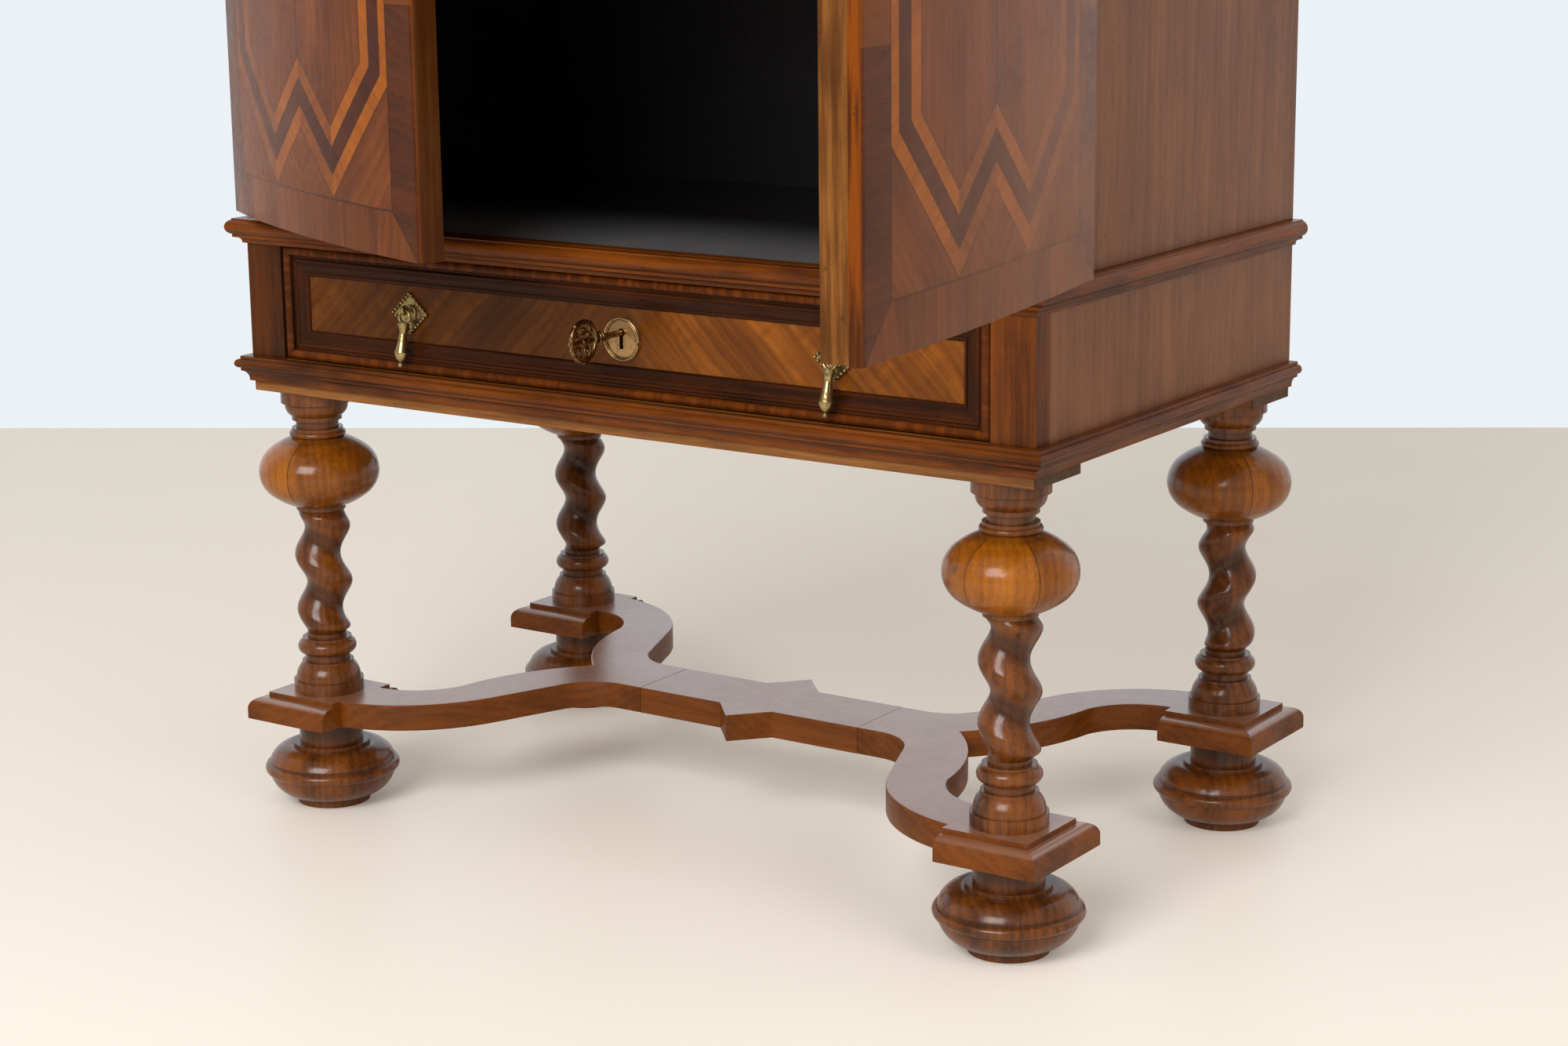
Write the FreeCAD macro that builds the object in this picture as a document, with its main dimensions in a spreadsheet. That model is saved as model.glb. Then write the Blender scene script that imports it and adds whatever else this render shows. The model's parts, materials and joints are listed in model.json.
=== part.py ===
"""A walnut cabinet on a barley-twist stand: cupboard with two doors above one drawer.

Millimetres and degrees. X runs to the right along the front, Y to the back and Z up.
The origin lies on the floor, midway between the four legs. The doors stand open.
"""
import FreeCAD
import Part
import math
import os

SIZES = {
    # stand
    "leg_inset_across": 37.5,
    "leg_inset_along": 29.5,
    "fit_gap": 0.3,
    "spigot_radius": 11.0,
    "spigot_length": 9.0,
    # bun feet
    "foot_pad_radius": 30.5,
    "foot_pad_height": 6.0,
    "foot_ring_radius": 56.3,
    "foot_ring_bottom": 26.0,
    "foot_ring_height": 9.0,
    "foot_body_radius": 52.6,
    "foot_flange_radius": 32.0,
    "foot_flange_bottom": 49.0,
    "foot_flange_height": 3.0,
    "foot_neck_radius": 26.6,
    # stretcher and plinths; the seam, shoulder and root of a fork are measured from its legs
    "stretcher_top": 96.5,
    "stretcher_thick": 22.0,
    "bar_half_width": 34.5,
    "bar_seam": 221.5,
    "lozenge_reach": 63.0,
    "lozenge_half_length": 26.0,
    "fork_root": 146.0,
    "fork_throat": 10.5,
    "fork_lean": 68.0,
    "fork_waist_radius": 42.0,
    "fork_shoulder_start": 200.0,
    "fork_end_lean": 8.0,
    "arm_outer": 27.0,
    "arm_inner": 24.0,
    "arm_crook_radius": 58.0,
    "arm_inner_lean": 72.0,
    "plinth_side": 71.0,
    "plinth_edge": 4.2,
    "plinth_strip_out": 13.0,
    "plinth_strip_round": 9.5,
    # turned legs
    "drum_radius": 29.0,
    "drum_height": 10.0,
    "bell_radius": 26.8,
    "bell_height": 14.0,
    "bell_top_radius": 21.4,
    "base_fillet_height": 2.0,
    "base_neck_radius": 18.5,
    "base_neck_height": 5.6,
    "base_ring_radius": 24.2,
    "base_ring_height": 12.4,
    "collar_fillet_radius": 20.4,
    "collar_radius": 16.2,
    "collar_height": 4.0,
    "core_radius": 12.0,
    "twist_pitch": 47.0,
    "twist_offset": 4.5,
    "twist_radius": 18.8,
    "twist_run_out": 6.5,
    "twist_sections": 8.0,
    "ball_radius": 49.4,
    "ball_half_height": 32.5,
    "ball_middle_round": 24.0,
    "ball_drop": 68.5,
    "ball_collar_radius": 20.3,
    "ball_collar_height": 3.0,
    "top_disc_radius": 29.0,
    "top_disc_height": 11.5,
    "cup_radius": 25.8,
    "cup_height": 10.5,
    "cup_foot_radius": 20.5,
    "cup_foot_height": 3.2,
    "top_neck_radius": 17.5,
    "top_neck_height": 6.6,
    "top_fillet_radius": 20.9,
    "top_fillet_height": 2.4,
    "top_ring_radius": 23.2,
    # base case
    "rail_bottom": 353.0,
    "rail_thick": 14.0,
    "rail_depth": 65.0,
    "rail_inset": 1.0,
    "case_half": 367.5,
    "case_depth": 407.0,
    "case_forward": 3.0,
    "side_thick": 18.0,
    "bottom_thick": 15.0,
    "stile_width": 36.0,
    "stile_thick": 20.0,
    "back_thick": 12.0,
    "drawer_height": 91.5,
    "drawer_gap": 1.0,
    "floor_thick": 19.5,
    "floor_round": 6.0,
    # mouldings round the case
    "lower_drop": 20.5,
    "lower_out": 11.0,
    "lower_roll_top": 0.88,
    "lower_roll_foot": 0.52,
    "waist_height": 20.0,
    "waist_out": 12.7,
    "waist_roll_top": 0.95,
    "waist_roll_foot": 0.36,
    # drawer
    "drawer_front_thick": 22.0,
    "drawer_recess": 7.0,
    "frame_width": 23.5,
    "drawer_side_thick": 11.0,
    "drawer_side_drop": 4.0,
    "drawer_back_gap": 26.0,
    "drawer_back_thick": 11.0,
    "drawer_bottom_thick": 6.0,
    "drawer_bottom_rise": 5.0,
    "groove_depth": 5.0,
    "slide_gap": 0.3,
    # drawer handles
    "handle_across": 200.0,
    "handle_height": 46.5,
    "plate_half_width": 18.0,
    "plate_half_height": 16.5,
    "plate_thick": 1.8,
    "plate_boss_radius": 6.0,
    "eye_reach": 8.0,
    "eye_rise": 3.5,
    "eye_radius": 2.8,
    "eye_wire": 1.2,
    "ring_radius": 5.2,
    "ring_wire": 1.3,
    "drop_pin_length": 4.4,
    "drop_length": 35.0,
    "drop_collar_radius": 4.7,
    "drop_neck_radius": 3.0,
    "drop_bulb_radius": 5.9,
    "drop_finial_radius": 2.1,
    "drop_lean": 9.5,
    # lock and key
    "lock_across": 8.5,
    "escutcheon_radius": 17.0,
    "escutcheon_thick": 2.2,
    "key_height": 49.0,
    "key_rise": 5.0,
    "keyhole_radius": 3.2,
    "keyhole_slot_half": 1.7,
    "keyhole_drop": 12.5,
    "key_radius": 2.4,
    "key_reach": 24.0,
    "key_collar_radius": 4.3,
    "key_bow_half_length": 17.0,
    "key_bow_half_height": 16.5,
    "key_bow_wire": 2.0,
    "key_bit_length": 5.0,
    "lock_half_width": 34.0,
    "lock_thick": 13.0,
    "lock_drop": 26.0,
    "lock_cavity_radius": 13.0,
    "bolt_half_width": 14.0,
    "bolt_thick": 4.0,
    "bolt_travel": 7.0,
    "bolt_gap": 0.4,
    "mortise_gap": 1.5,
    # cupboard
    "cupboard_height": 748.0,
    "top_thick": 18.0,
    "frieze_height": 74.0,
    "cornice_out": 56.0,
    "shelf_height": 380.0,
    "shelf_thick": 16.0,
    "shelf_setback": 30.0,
    # doors and hinges
    "carcass_setback": 18.0,
    "left_door_thick": 19.5,
    "right_door_thick": 30.0,
    "left_door_bow": 12.0,
    "right_door_bow": 5.0,
    "door_flat": 20.0,
    "door_lap": 6.0,
    "door_lap_gap": 1.5,
    "door_gap": 0.6,
    "door_meeting_gap": 1.5,
    "door_lift": 5.5,
    "door_head_gap": 2.5,
    "door_nose": 4.0,
    "left_door_angle": 25.4,
    "right_door_angle": 98.0,
    "hinge_out": 3.5,
    "hinge_inset": 215.0,
    "hinge_length": 60.0,
    "leaf_width": 16.0,
    "leaf_thick": 1.5,
    "knuckle_radius": 3.2,
    "knuckle_gap": 0.3,
    "pin_radius": 1.6,
    "pin_gap": 0.05,
}


class Term:
    """A size with its value and the spreadsheet expression that gives it."""

    def __init__(self, value, text):
        self.value = value
        self.text = text

    def __add__(self, other):
        other = term(other)
        return Term(self.value + other.value, f"({self.text} + {other.text})")

    def __sub__(self, other):
        other = term(other)
        return Term(self.value - other.value, f"({self.text} - {other.text})")

    def __mul__(self, other):
        other = term(other)
        return Term(self.value * other.value, f"({self.text} * {other.text})")

    def __truediv__(self, other):
        other = term(other)
        return Term(self.value / other.value, f"({self.text} / {other.text})")

    def __neg__(self):
        return Term(-self.value, f"(-{self.text})")

    def __radd__(self, other):
        return term(other) + self

    def __rsub__(self, other):
        return term(other) - self

    def __rmul__(self, other):
        return term(other) * self

    def __float__(self):
        return float(self.value)


def term(value):
    return value if isinstance(value, Term) else Term(float(value), f"({value})")


class Sizes:
    """The driving sizes, one attribute for each cell of the spreadsheet."""

    def __init__(self, values):
        for alias, value in values.items():
            setattr(self, alias, Term(value, f"Sizes.{alias}"))


s = Sizes(SIZES)
doc = FreeCAD.newDocument("CabinetOnStand")
nodes = []


def fill_sheet():
    sheet = doc.addObject("Spreadsheet::Sheet", "Sizes")
    for row, (alias, value) in enumerate(SIZES.items(), start=1):
        sheet.set(f"A{row}", alias)
        sheet.set(f"B{row}", str(value))
        sheet.setAlias(f"B{row}", alias)
    doc.recompute()


# helpers for solids that follow the sheet

def bind(item, prop, value):
    """Ties a property to the sheet's cells."""
    item.setExpression(prop, term(value).text)


def place(item, x=0, y=0, z=0, rotation=None):
    """Sets the turn of an item and ties its position to the sheet."""
    if rotation is not None:
        item.Placement = FreeCAD.Placement(FreeCAD.Vector(), rotation)
    for axis, value in (("x", x), ("y", y), ("z", z)):
        bind(item, f"Placement.Base.{axis}", value)


def turn(axis, angle):
    return FreeCAD.Rotation(FreeCAD.Vector(*axis), float(angle))


def node(item, label):
    """Marks an item as a piece of the cabinet, under its own name."""
    item.Label = label
    nodes.append(item)
    return item


def block(name, x, y, z):
    """A board or a cutter from its low and high ends along each axis."""
    item = doc.addObject("Part::Box", name)
    low = {}
    for prop, ends in (("Length", x), ("Width", y), ("Height", z)):
        first, second = (term(end) for end in ends)
        low[prop] = min(first, second, key=float)
        high = max(first, second, key=float)
        bind(item, prop, high - low[prop])
    place(item, low["Length"], low["Width"], low["Height"])
    return item


def cylinder(name, radius, length, x=0, y=0, z=0, rotation=None):
    item = doc.addObject("Part::Cylinder", name)
    bind(item, "Radius", radius)
    bind(item, "Height", length)
    place(item, x, y, z, rotation)
    return item


def ring(name, radius, wire, x=0, y=0, z=0, rotation=None):
    item = doc.addObject("Part::Torus", name)
    bind(item, "Radius1", radius)
    bind(item, "Radius2", wire)
    place(item, x, y, z, rotation)
    return item


def fused(name, items):
    item = doc.addObject("Part::MultiFuse", name)
    item.Shapes = items
    return item


def grouped(name, items):
    item = doc.addObject("Part::Compound", name)
    item.Links = items
    return item


def cut(name, base, tools):
    item = doc.addObject("Part::Cut", name)
    item.Base = base
    item.Tool = tools[0] if len(tools) == 1 else fused(name + "_cutters", tools)
    return item


def board(label, x, y, z):
    """A plain board that is a piece of its own."""
    return node(block(label, x, y, z), label)


def origin_plane(body, role):
    return next(feature for feature in body.Origin.OriginFeatures if feature.Role == role)


def sketch_on(body, role):
    sketch = body.newObject("Sketcher::SketchObject", body.Name + "_sketch")
    sketch.AttachmentSupport = (origin_plane(body, role), [""])
    sketch.MapMode = "FlatFace"
    return sketch


def vector(point):
    return FreeCAD.Vector(float(point[0]), float(point[1]), 0)


def draw(sketch, start, steps):
    """A closed outline. A step is the next corner, or a point on an arc with the arc's end."""
    here = start
    for step in steps + [start]:
        if isinstance(step[0], tuple):
            through, end = step
            sketch.addGeometry(Part.Arc(vector(here), vector(through), vector(end)), False)
        else:
            end = step
            sketch.addGeometry(Part.LineSegment(vector(here), vector(end)), False)
        here = end


def bulge(start, end, height):
    """The point at the middle of an arc that swells to the right of its chord by a height."""
    across = float(end[0]) - float(start[0])
    along = float(end[1]) - float(start[1])
    chord = math.hypot(across, along)
    middle_x = (float(start[0]) + float(end[0])) / 2 + along / chord * float(height)
    middle_y = (float(start[1]) + float(end[1])) / 2 - across / chord * float(height)
    return (middle_x, middle_y)


def turned(name, start, steps):
    """A lathe-turned piece from half of its outline, radius against height."""
    body = doc.addObject("PartDesign::Body", name)
    sketch = sketch_on(body, "XZ_Plane")
    draw(sketch, start, steps)
    revolution = body.newObject("PartDesign::Revolution", name + "_turning")
    revolution.Profile = sketch
    revolution.ReferenceAxis = (sketch, ["V_Axis"])
    revolution.Angle = 360.0
    return body


def padded(name, role, start, steps, length, midplane=False):
    body = doc.addObject("PartDesign::Body", name)
    sketch = sketch_on(body, role)
    draw(sketch, start, steps)
    pad = body.newObject("PartDesign::Pad", name + "_pad")
    pad.Profile = sketch
    bind(pad, "Length", length)
    pad.Midplane = midplane
    return body


def strip(name, outline, out, length, ends):
    """A moulding along X on a wall at y = 0, standing out towards -Y.

    Each end is 1 for an outside mitre, -1 for an inside mitre and 0 for a square end.
    """
    start, steps = outline
    reach = float(out)
    extra = [reach if end == 1 else 0.0 for end in ends]
    body = doc.addObject("PartDesign::Body", name)
    sketch = sketch_on(body, "YZ_Plane")
    draw(sketch, start, steps)
    pad = body.newObject("PartDesign::Pad", name + "_pad")
    pad.Profile = sketch
    bind(pad, "Length", length + extra[0] + extra[1])
    sketch.AttachmentOffset = FreeCAD.Placement(FreeCAD.Vector(0, 0, -extra[0]), FreeCAD.Rotation())
    if not any(ends):
        return body
    doc.recompute()
    before = body.Shape.Volume
    mitre = sketch_on(body, "XY_Plane")
    for end, wall, away in ((ends[0], 0.0, -1.0), (ends[1], float(length), 1.0)):
        if end:
            tip = (wall + away * end * reach, -reach)
            corner = (tip[0], 0.0) if end == 1 else (wall, -reach)
            draw(mitre, (wall, 0.0), [tip, corner])
    pocket = body.newObject("PartDesign::Pocket", name + "_mitres")
    pocket.Profile = mitre
    pocket.Type = "ThroughAll"
    pocket.Midplane = True
    doc.recompute()
    if body.Shape.Volume >= before:
        raise RuntimeError(name + ": the mitres cut nothing")
    return body


# levels and planes that several pieces share

leg_across = s.case_half - s.leg_inset_across
leg_along = s.case_depth / 2 - s.leg_inset_along
front = -(s.case_depth / 2 + s.case_forward)
back = front + s.case_depth
carcass_front = front + s.carcass_setback
plinth_half = s.plinth_side / 2
stretcher_bottom = s.stretcher_top - s.stretcher_thick
case_bottom = s.rail_bottom + s.rail_thick
bottom_top = case_bottom + s.bottom_thick
drawer_bottom = bottom_top + s.drawer_gap
drawer_top = drawer_bottom + s.drawer_height
case_top = drawer_top + s.drawer_gap
floor_top = case_top + s.floor_thick
cupboard_top = floor_top + s.cupboard_height
inside_half = s.case_half - s.side_thick
opening_half = s.case_half - s.stile_width
panel_face = front + s.drawer_recess
panel_back = panel_face + s.drawer_front_thick
handle_level = drawer_bottom + s.handle_height
key_level = drawer_bottom + s.key_height
corners = {
    "front_left": (-1, -1),
    "front_right": (1, -1),
    "rear_left": (-1, 1),
    "rear_right": (1, 1),
}


# feet, plinths and legs

def make_foot(label, across, along):
    ring_top = s.foot_ring_bottom + s.foot_ring_height
    flange_top = s.foot_flange_bottom + s.foot_flange_height
    pad_top = (s.foot_pad_radius, s.foot_pad_height)
    under_ring = (s.foot_body_radius, s.foot_ring_bottom)
    over_ring = (s.foot_body_radius, ring_top)
    under_flange = (s.foot_flange_radius, s.foot_flange_bottom)
    body = turned(label, (0, 0), [
        (s.foot_pad_radius, 0),
        pad_top,
        (bulge(pad_top, under_ring, 5.0), under_ring),
        ((s.foot_ring_radius, s.foot_ring_bottom + s.foot_ring_height / 2), over_ring),
        (bulge(over_ring, under_flange, 5.0), under_flange),
        (s.foot_flange_radius, flange_top),
        (s.foot_neck_radius, flange_top),
        (s.foot_neck_radius, stretcher_bottom),
        (s.spigot_radius, stretcher_bottom),
        (s.spigot_radius, stretcher_bottom + s.spigot_length),
        (0, stretcher_bottom + s.spigot_length),
    ])
    place(body, across, along)
    node(body, label)


def plinth_outline():
    """Half-round strip below the plain edge of the plinth: out from the block against height."""
    top = s.stretcher_thick - s.plinth_edge
    shoulder = (-s.plinth_strip_out, top - s.plinth_strip_round)
    crest = (-(s.plinth_strip_out - s.plinth_strip_round), top)
    return (0, 0), [
        (-s.plinth_strip_out, 0),
        shoulder,
        (bulge(crest, shoulder, s.plinth_strip_round * 0.29), crest),
        (0, top),
    ]


def make_plinth(label, across, along, side):
    core = block(label + "_core", (across - plinth_half, across + plinth_half),
                 (along - plinth_half, along + plinth_half), (stretcher_bottom, s.stretcher_top))
    hole = cylinder(label + "_hole", s.spigot_radius + s.fit_gap, s.stretcher_thick,
                    across, along, stretcher_bottom)
    pieces = [cut(label + "_block", core, [hole])]
    runs = {
        "front": ((0, 1) if side > 0 else (1, 0), 0, (-plinth_half, -plinth_half)),
        "back": ((1, 0) if side > 0 else (0, 1), 180, (plinth_half, plinth_half)),
        "outer": ((1, 1), 90 * side, (plinth_half * side, -plinth_half * side)),
    }
    for run, (ends, angle, (x, y)) in runs.items():
        piece = strip(f"{label}_{run}_strip", plinth_outline(), s.plinth_strip_out, s.plinth_side, ends)
        place(piece, across + x, along + y, stretcher_bottom, turn((0, 0, 1), angle))
        pieces.append(piece)
    node(grouped(label, pieces), label)


def leg_base_heights():
    """Heights above the stretcher of the members turned below the twist."""
    drum = s.drum_height
    bell = drum + s.bell_height
    fillet = bell + s.base_fillet_height
    neck = fillet + s.base_neck_height
    rim = neck + s.base_ring_height
    collar_fillet = rim + s.base_fillet_height
    collar = collar_fillet + s.collar_height
    return drum, bell, fillet, neck, rim, collar_fillet, collar


def ball_shape():
    """The crown radius of the ball, and the radius and rise where the crown meets the rounded middle."""
    half = float(s.ball_half_height)
    middle = float(s.ball_middle_round)
    inset = float(s.ball_radius) - middle
    crown = (inset ** 2 + half ** 2 - middle ** 2) / (2 * (half - middle))
    share = crown / (crown - middle)
    return crown, inset * share, (crown - half) * (share - 1)


def ball_height_at(radius):
    """Half of the ball's height where its crown has a radius."""
    crown = ball_shape()[0]
    return math.sqrt(crown ** 2 - float(radius) ** 2) - crown + float(s.ball_half_height)


def crown_step(start, end, radius):
    """An arc of a radius that swells outwards between two points."""
    chord = math.hypot(float(end[0]) - float(start[0]), float(end[1]) - float(start[1]))
    return bulge(start, end, radius - math.sqrt(radius ** 2 - chord ** 2 / 4)), end


def make_turned_leg(name):
    """The turned leg without its twist, from the stretcher up to the leg rail."""
    seat = s.stretcher_top
    drum, bell, fillet, neck, rim, collar_fillet, collar = (seat + rise for rise in leg_base_heights())
    disc = s.rail_bottom - s.top_disc_height
    cup = disc - s.cup_height
    cup_foot = cup - s.cup_foot_height
    top_neck = cup_foot - s.top_neck_height
    top_fillet = top_neck - s.top_fillet_height
    ball_centre = s.rail_bottom - s.ball_drop
    ball_top = ball_centre + ball_height_at(s.top_fillet_radius)
    ball_foot = ball_centre - ball_height_at(s.ball_collar_radius)
    ball_collar = ball_foot - s.ball_collar_height
    bell_foot = (s.bell_radius, drum)
    bell_top = (s.bell_top_radius, bell)
    ring_foot = (s.base_neck_radius, neck)
    ring_top = (s.collar_fillet_radius, rim)
    cup_rim = (s.cup_radius, disc)
    cup_end = (s.cup_foot_radius, cup)
    crown, join_radius, join_rise = ball_shape()
    ball_low = (s.ball_collar_radius, ball_foot)
    ball_high = (s.top_fillet_radius, ball_top)
    lower_join = (join_radius, ball_centre - join_rise)
    upper_join = (join_radius, ball_centre + join_rise)
    return turned(name, (0, seat - s.spigot_length), [
        (s.spigot_radius, seat - s.spigot_length),
        (s.spigot_radius, seat),
        (s.drum_radius, seat),
        (s.drum_radius, drum),
        bell_foot,
        (bulge(bell_foot, bell_top, 1.6), bell_top),
        (s.bell_top_radius, fillet),
        (s.base_neck_radius, fillet),
        ring_foot,
        ((s.base_ring_radius, neck + s.base_ring_height * 0.6), ring_top),
        (s.collar_fillet_radius, collar_fillet),
        (s.collar_radius, collar_fillet),
        (s.collar_radius, collar),
        (s.core_radius, collar),
        (s.core_radius, ball_collar),
        (s.ball_collar_radius, ball_collar),
        ball_low,
        crown_step(ball_low, lower_join, crown),
        ((s.ball_radius, ball_centre), upper_join),
        crown_step(upper_join, ball_high, crown),
        (bulge(ball_high, (s.top_fillet_radius, top_fillet),
               s.top_ring_radius - s.top_fillet_radius), (s.top_fillet_radius, top_fillet)),
        (s.top_fillet_radius, top_neck),
        (s.top_neck_radius, top_neck),
        (s.top_neck_radius, cup_foot),
        (s.cup_foot_radius, cup_foot),
        cup_end,
        (bulge(cup_end, cup_rim, 1.8), cup_rim),
        (s.top_disc_radius, disc + 1.0),
        (s.top_disc_radius, s.rail_bottom),
        (s.spigot_radius, s.rail_bottom),
        (s.spigot_radius, s.rail_bottom + s.spigot_length),
        (0, s.rail_bottom + s.spigot_length),
    ])


def make_twist(name, phase, right_handed):
    """The barley twist: round sections climbing a helix, drawn in to the collars at both ends."""
    low = s.stretcher_top + leg_base_heights()[-1]
    high = s.rail_bottom - s.ball_drop - ball_height_at(s.ball_collar_radius) - s.ball_collar_height
    first = low + s.twist_run_out
    last = high - s.twist_run_out
    count = round(float((last - first) / s.twist_pitch * s.twist_sections))
    foot_radius = s.collar_radius - s.fit_gap
    head_radius = s.ball_collar_radius * 0.92
    sections = [
        twist_section(name, foot_radius, low - s.collar_height / 2),
        twist_section(name, foot_radius, low),
    ]
    for step in range(count + 1):
        level = first + (last - first) * (step / count)
        rise = level - low
        turns = float(rise / s.twist_pitch) * (1 if right_handed else -1)
        angle = math.radians(phase + 360.0 * turns)
        sections.append(twist_section(name, s.twist_radius, level, s.twist_offset * math.cos(angle),
                                      s.twist_offset * math.sin(angle)))
    sections.append(twist_section(name, head_radius, high))
    sections.append(twist_section(name, head_radius, high + s.ball_collar_height / 2))
    twist = doc.addObject("Part::Loft", name)
    twist.Sections = sections
    twist.Solid = True
    return twist


def twist_section(name, radius, level, x=0, y=0):
    section = doc.addObject("Part::Circle", name + "_section")
    bind(section, "Radius", radius)
    place(section, x, y, level)
    return section


def make_leg(label, across, along, phase, right_handed):
    turning = make_turned_leg(label + "_turned")
    twist = make_twist(label + "_twist", phase, right_handed)
    leg = fused(label, [turning, twist])
    place(leg, across, along)
    node(leg, label)


def make_stand():
    # the twist of each leg: the direction of its bulge at the bottom, and its hand
    twists = {
        "front_left": (16.2, False),
        "front_right": (49.1, False),
        "rear_left": (41.8, False),
        "rear_right": (278.8, True),
    }
    for corner, (side, depth) in corners.items():
        across = leg_across * side
        along = leg_along * depth
        make_foot("foot_" + corner, across, along)
        make_plinth("plinth_" + corner, across, along, side)
        make_leg("leg_" + corner, across, along, *twists[corner])


# stretcher

def heading_arc(start, heading, new_heading, radius):
    """The middle and end of an arc that leaves along a heading and ends along another."""
    left = 1.0 if new_heading > heading else -1.0
    points = []
    for angle in ((heading + new_heading) / 2, new_heading):
        first = math.radians(heading)
        last = math.radians(angle)
        x = float(start[0]) + left * float(radius) * (math.sin(last) - math.sin(first))
        y = float(start[1]) + left * float(radius) * (math.cos(first) - math.cos(last))
        points.append((x, y))
    return points


def flank_and_shoulder(start, end, heading, new_heading):
    """The end of a straight run and the radius of the arc after it that together reach a point."""
    first = math.radians(heading)
    last = math.radians(new_heading)
    across = float(end[0]) - float(start[0])
    along = float(end[1]) - float(start[1])
    arc_x = math.sin(first) - math.sin(last)
    arc_y = math.cos(last) - math.cos(first)
    spread = math.cos(first) * arc_y - math.sin(first) * arc_x
    length = (across * arc_y - along * arc_x) / spread
    radius = (along * math.cos(first) - across * math.sin(first)) / spread
    return (float(start[0]) + length * math.cos(first), float(start[1]) + length * math.sin(first)), radius


def fork_side():
    """One side of the forked end from the seam to the plinth, then back to the root of the fork."""
    end_x = float(leg_across - plinth_half)
    lean = float(s.fork_lean)
    inner = 180.0 + float(s.arm_inner_lean)
    bend = (leg_across - s.fork_shoulder_start, s.bar_half_width)
    waist_middle, waist_end = heading_arc(bend, 0.0, lean, s.fork_waist_radius)
    shoulder_end = (end_x, leg_along + s.arm_outer)
    flank_end, radius = flank_and_shoulder(waist_end, shoulder_end, lean, float(s.fork_end_lean))
    shoulder_middle = heading_arc(flank_end, lean, float(s.fork_end_lean), radius)[0]
    crook_start = (end_x, leg_along - s.arm_inner)
    crook_middle, crook_end = heading_arc(crook_start, 180.0, inner, s.arm_crook_radius)
    root = (leg_across - s.fork_root, 0.0)
    throat = bulge(crook_end, root, -s.fork_throat)
    return [
        bend,
        (waist_middle, waist_end),
        flank_end,
        (shoulder_middle, shoulder_end),
        crook_start,
        (crook_middle, crook_end),
        (throat, root),
    ]


def mirrored_steps(steps, start):
    """The same run of steps on the other side of the X axis, walked backwards."""
    def flip(point):
        return (point[0], -term(point[1]))

    ends = [start] + [step[1] if isinstance(step[0], tuple) else step for step in steps]
    result = []
    for step, before in reversed(list(zip(steps, ends[:-1]))):
        if isinstance(step[0], tuple):
            result.append((flip(step[0]), flip(before)))
        else:
            result.append(flip(before))
    return result


def make_stretcher():
    seam = leg_across - s.bar_seam
    start = (seam, s.bar_half_width)
    steps = fork_side()
    outline = steps + mirrored_steps(steps, start)
    for side, label in ((1, "stretcher_right"), (-1, "stretcher_left")):
        fork = padded(label, "XY_Plane", start, outline, s.stretcher_thick)
        place(fork, 0, 0, stretcher_bottom, turn((0, 0, 1), 0 if side > 0 else 180))
        node(fork, label)
    half_width = s.bar_half_width
    quarter = [(seam, half_width), (s.lozenge_half_length, half_width), (0, s.lozenge_reach)]
    left = [(-x, y) for x, y in reversed(quarter[:-1])]
    far = quarter + left
    near = [(x, -term(y)) for x, y in reversed(far)]
    centre = padded("stretcher_centre", "XY_Plane", far[0], far[1:] + near, s.stretcher_thick)
    place(centre, 0, 0, stretcher_bottom)
    node(centre, "stretcher_centre")


# base case

def make_leg_rails():
    for label, near, far, depth in (
        ("leg_rail_front", front + s.rail_inset, front + s.rail_inset + s.rail_depth, -1),
        ("leg_rail_rear", back - s.rail_depth, back, 1),
    ):
        level = (s.rail_bottom, case_bottom)
        plank = block(label + "_plank", (-s.case_half, s.case_half), (near, far), level)
        holes = [
            cylinder(f"{label}_hole_{side}", s.spigot_radius + s.fit_gap, s.rail_thick,
                     leg_across * side, leg_along * depth, s.rail_bottom)
            for side in (-1, 1)
        ]
        node(cut(label, plank, holes), label)


def make_case():
    stile_back = front + s.stile_thick
    back_face = back - s.back_thick
    upright = (bottom_top, case_top)
    board("case_bottom", (-s.case_half, s.case_half), (front, back), (case_bottom, bottom_top))
    board("case_back", (-inside_half, inside_half), (back_face, back), upright)
    for side, word in ((-1, "left"), (1, "right")):
        outer = s.case_half * side
        inner = inside_half * side
        opening = opening_half * side
        board(f"case_side_{word}", (inner, outer), (stile_back, back), upright)
        board(f"case_stile_{word}", (opening, outer), (front, stile_back), upright)
        board(f"drawer_guide_{word}", (opening, inner), (stile_back, back_face),
              (bottom_top, bottom_top + s.side_thick))


def band_outline(height, out, roll_share, foot_share):
    """Fillet, half round, small fillet and cove, from the top of the moulding down."""
    top = float(height)
    reach = float(out)
    roll_top = top * float(roll_share)
    roll_foot = top * float(foot_share)
    roll_root = -reach * 0.66
    cove_top = (-reach * 0.56, roll_foot - top * 0.12)
    cove_foot = (-reach * 0.22, cove_top[1] * 0.24)
    return (0, 0), [
        (cove_foot[0], 0),
        cove_foot,
        (bulge(cove_foot, cove_top, reach * 0.08), cove_top),
        (roll_root, cove_top[1]),
        (roll_root, roll_foot),
        ((-reach, (roll_top + roll_foot) / 2), (roll_root, roll_top)),
        (roll_root, top),
        (0, top),
    ]


def make_band(label, outline, out, level):
    """A moulding round the front and both sides, mitred at the front corners, square at the back."""
    runs = {
        "front": (s.case_half * 2, (1, 1), 0, (-s.case_half, front)),
        "right": (s.case_depth, (1, 0), 90, (s.case_half, front)),
        "left": (s.case_depth, (0, 1), -90, (-s.case_half, back)),
    }
    for run, (length, ends, angle, (x, y)) in runs.items():
        piece = strip(f"{label}_{run}", outline, out, length, ends)
        place(piece, x, y, level, turn((0, 0, 1), angle))
        node(piece, f"{label}_{run}")


# drawer

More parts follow.
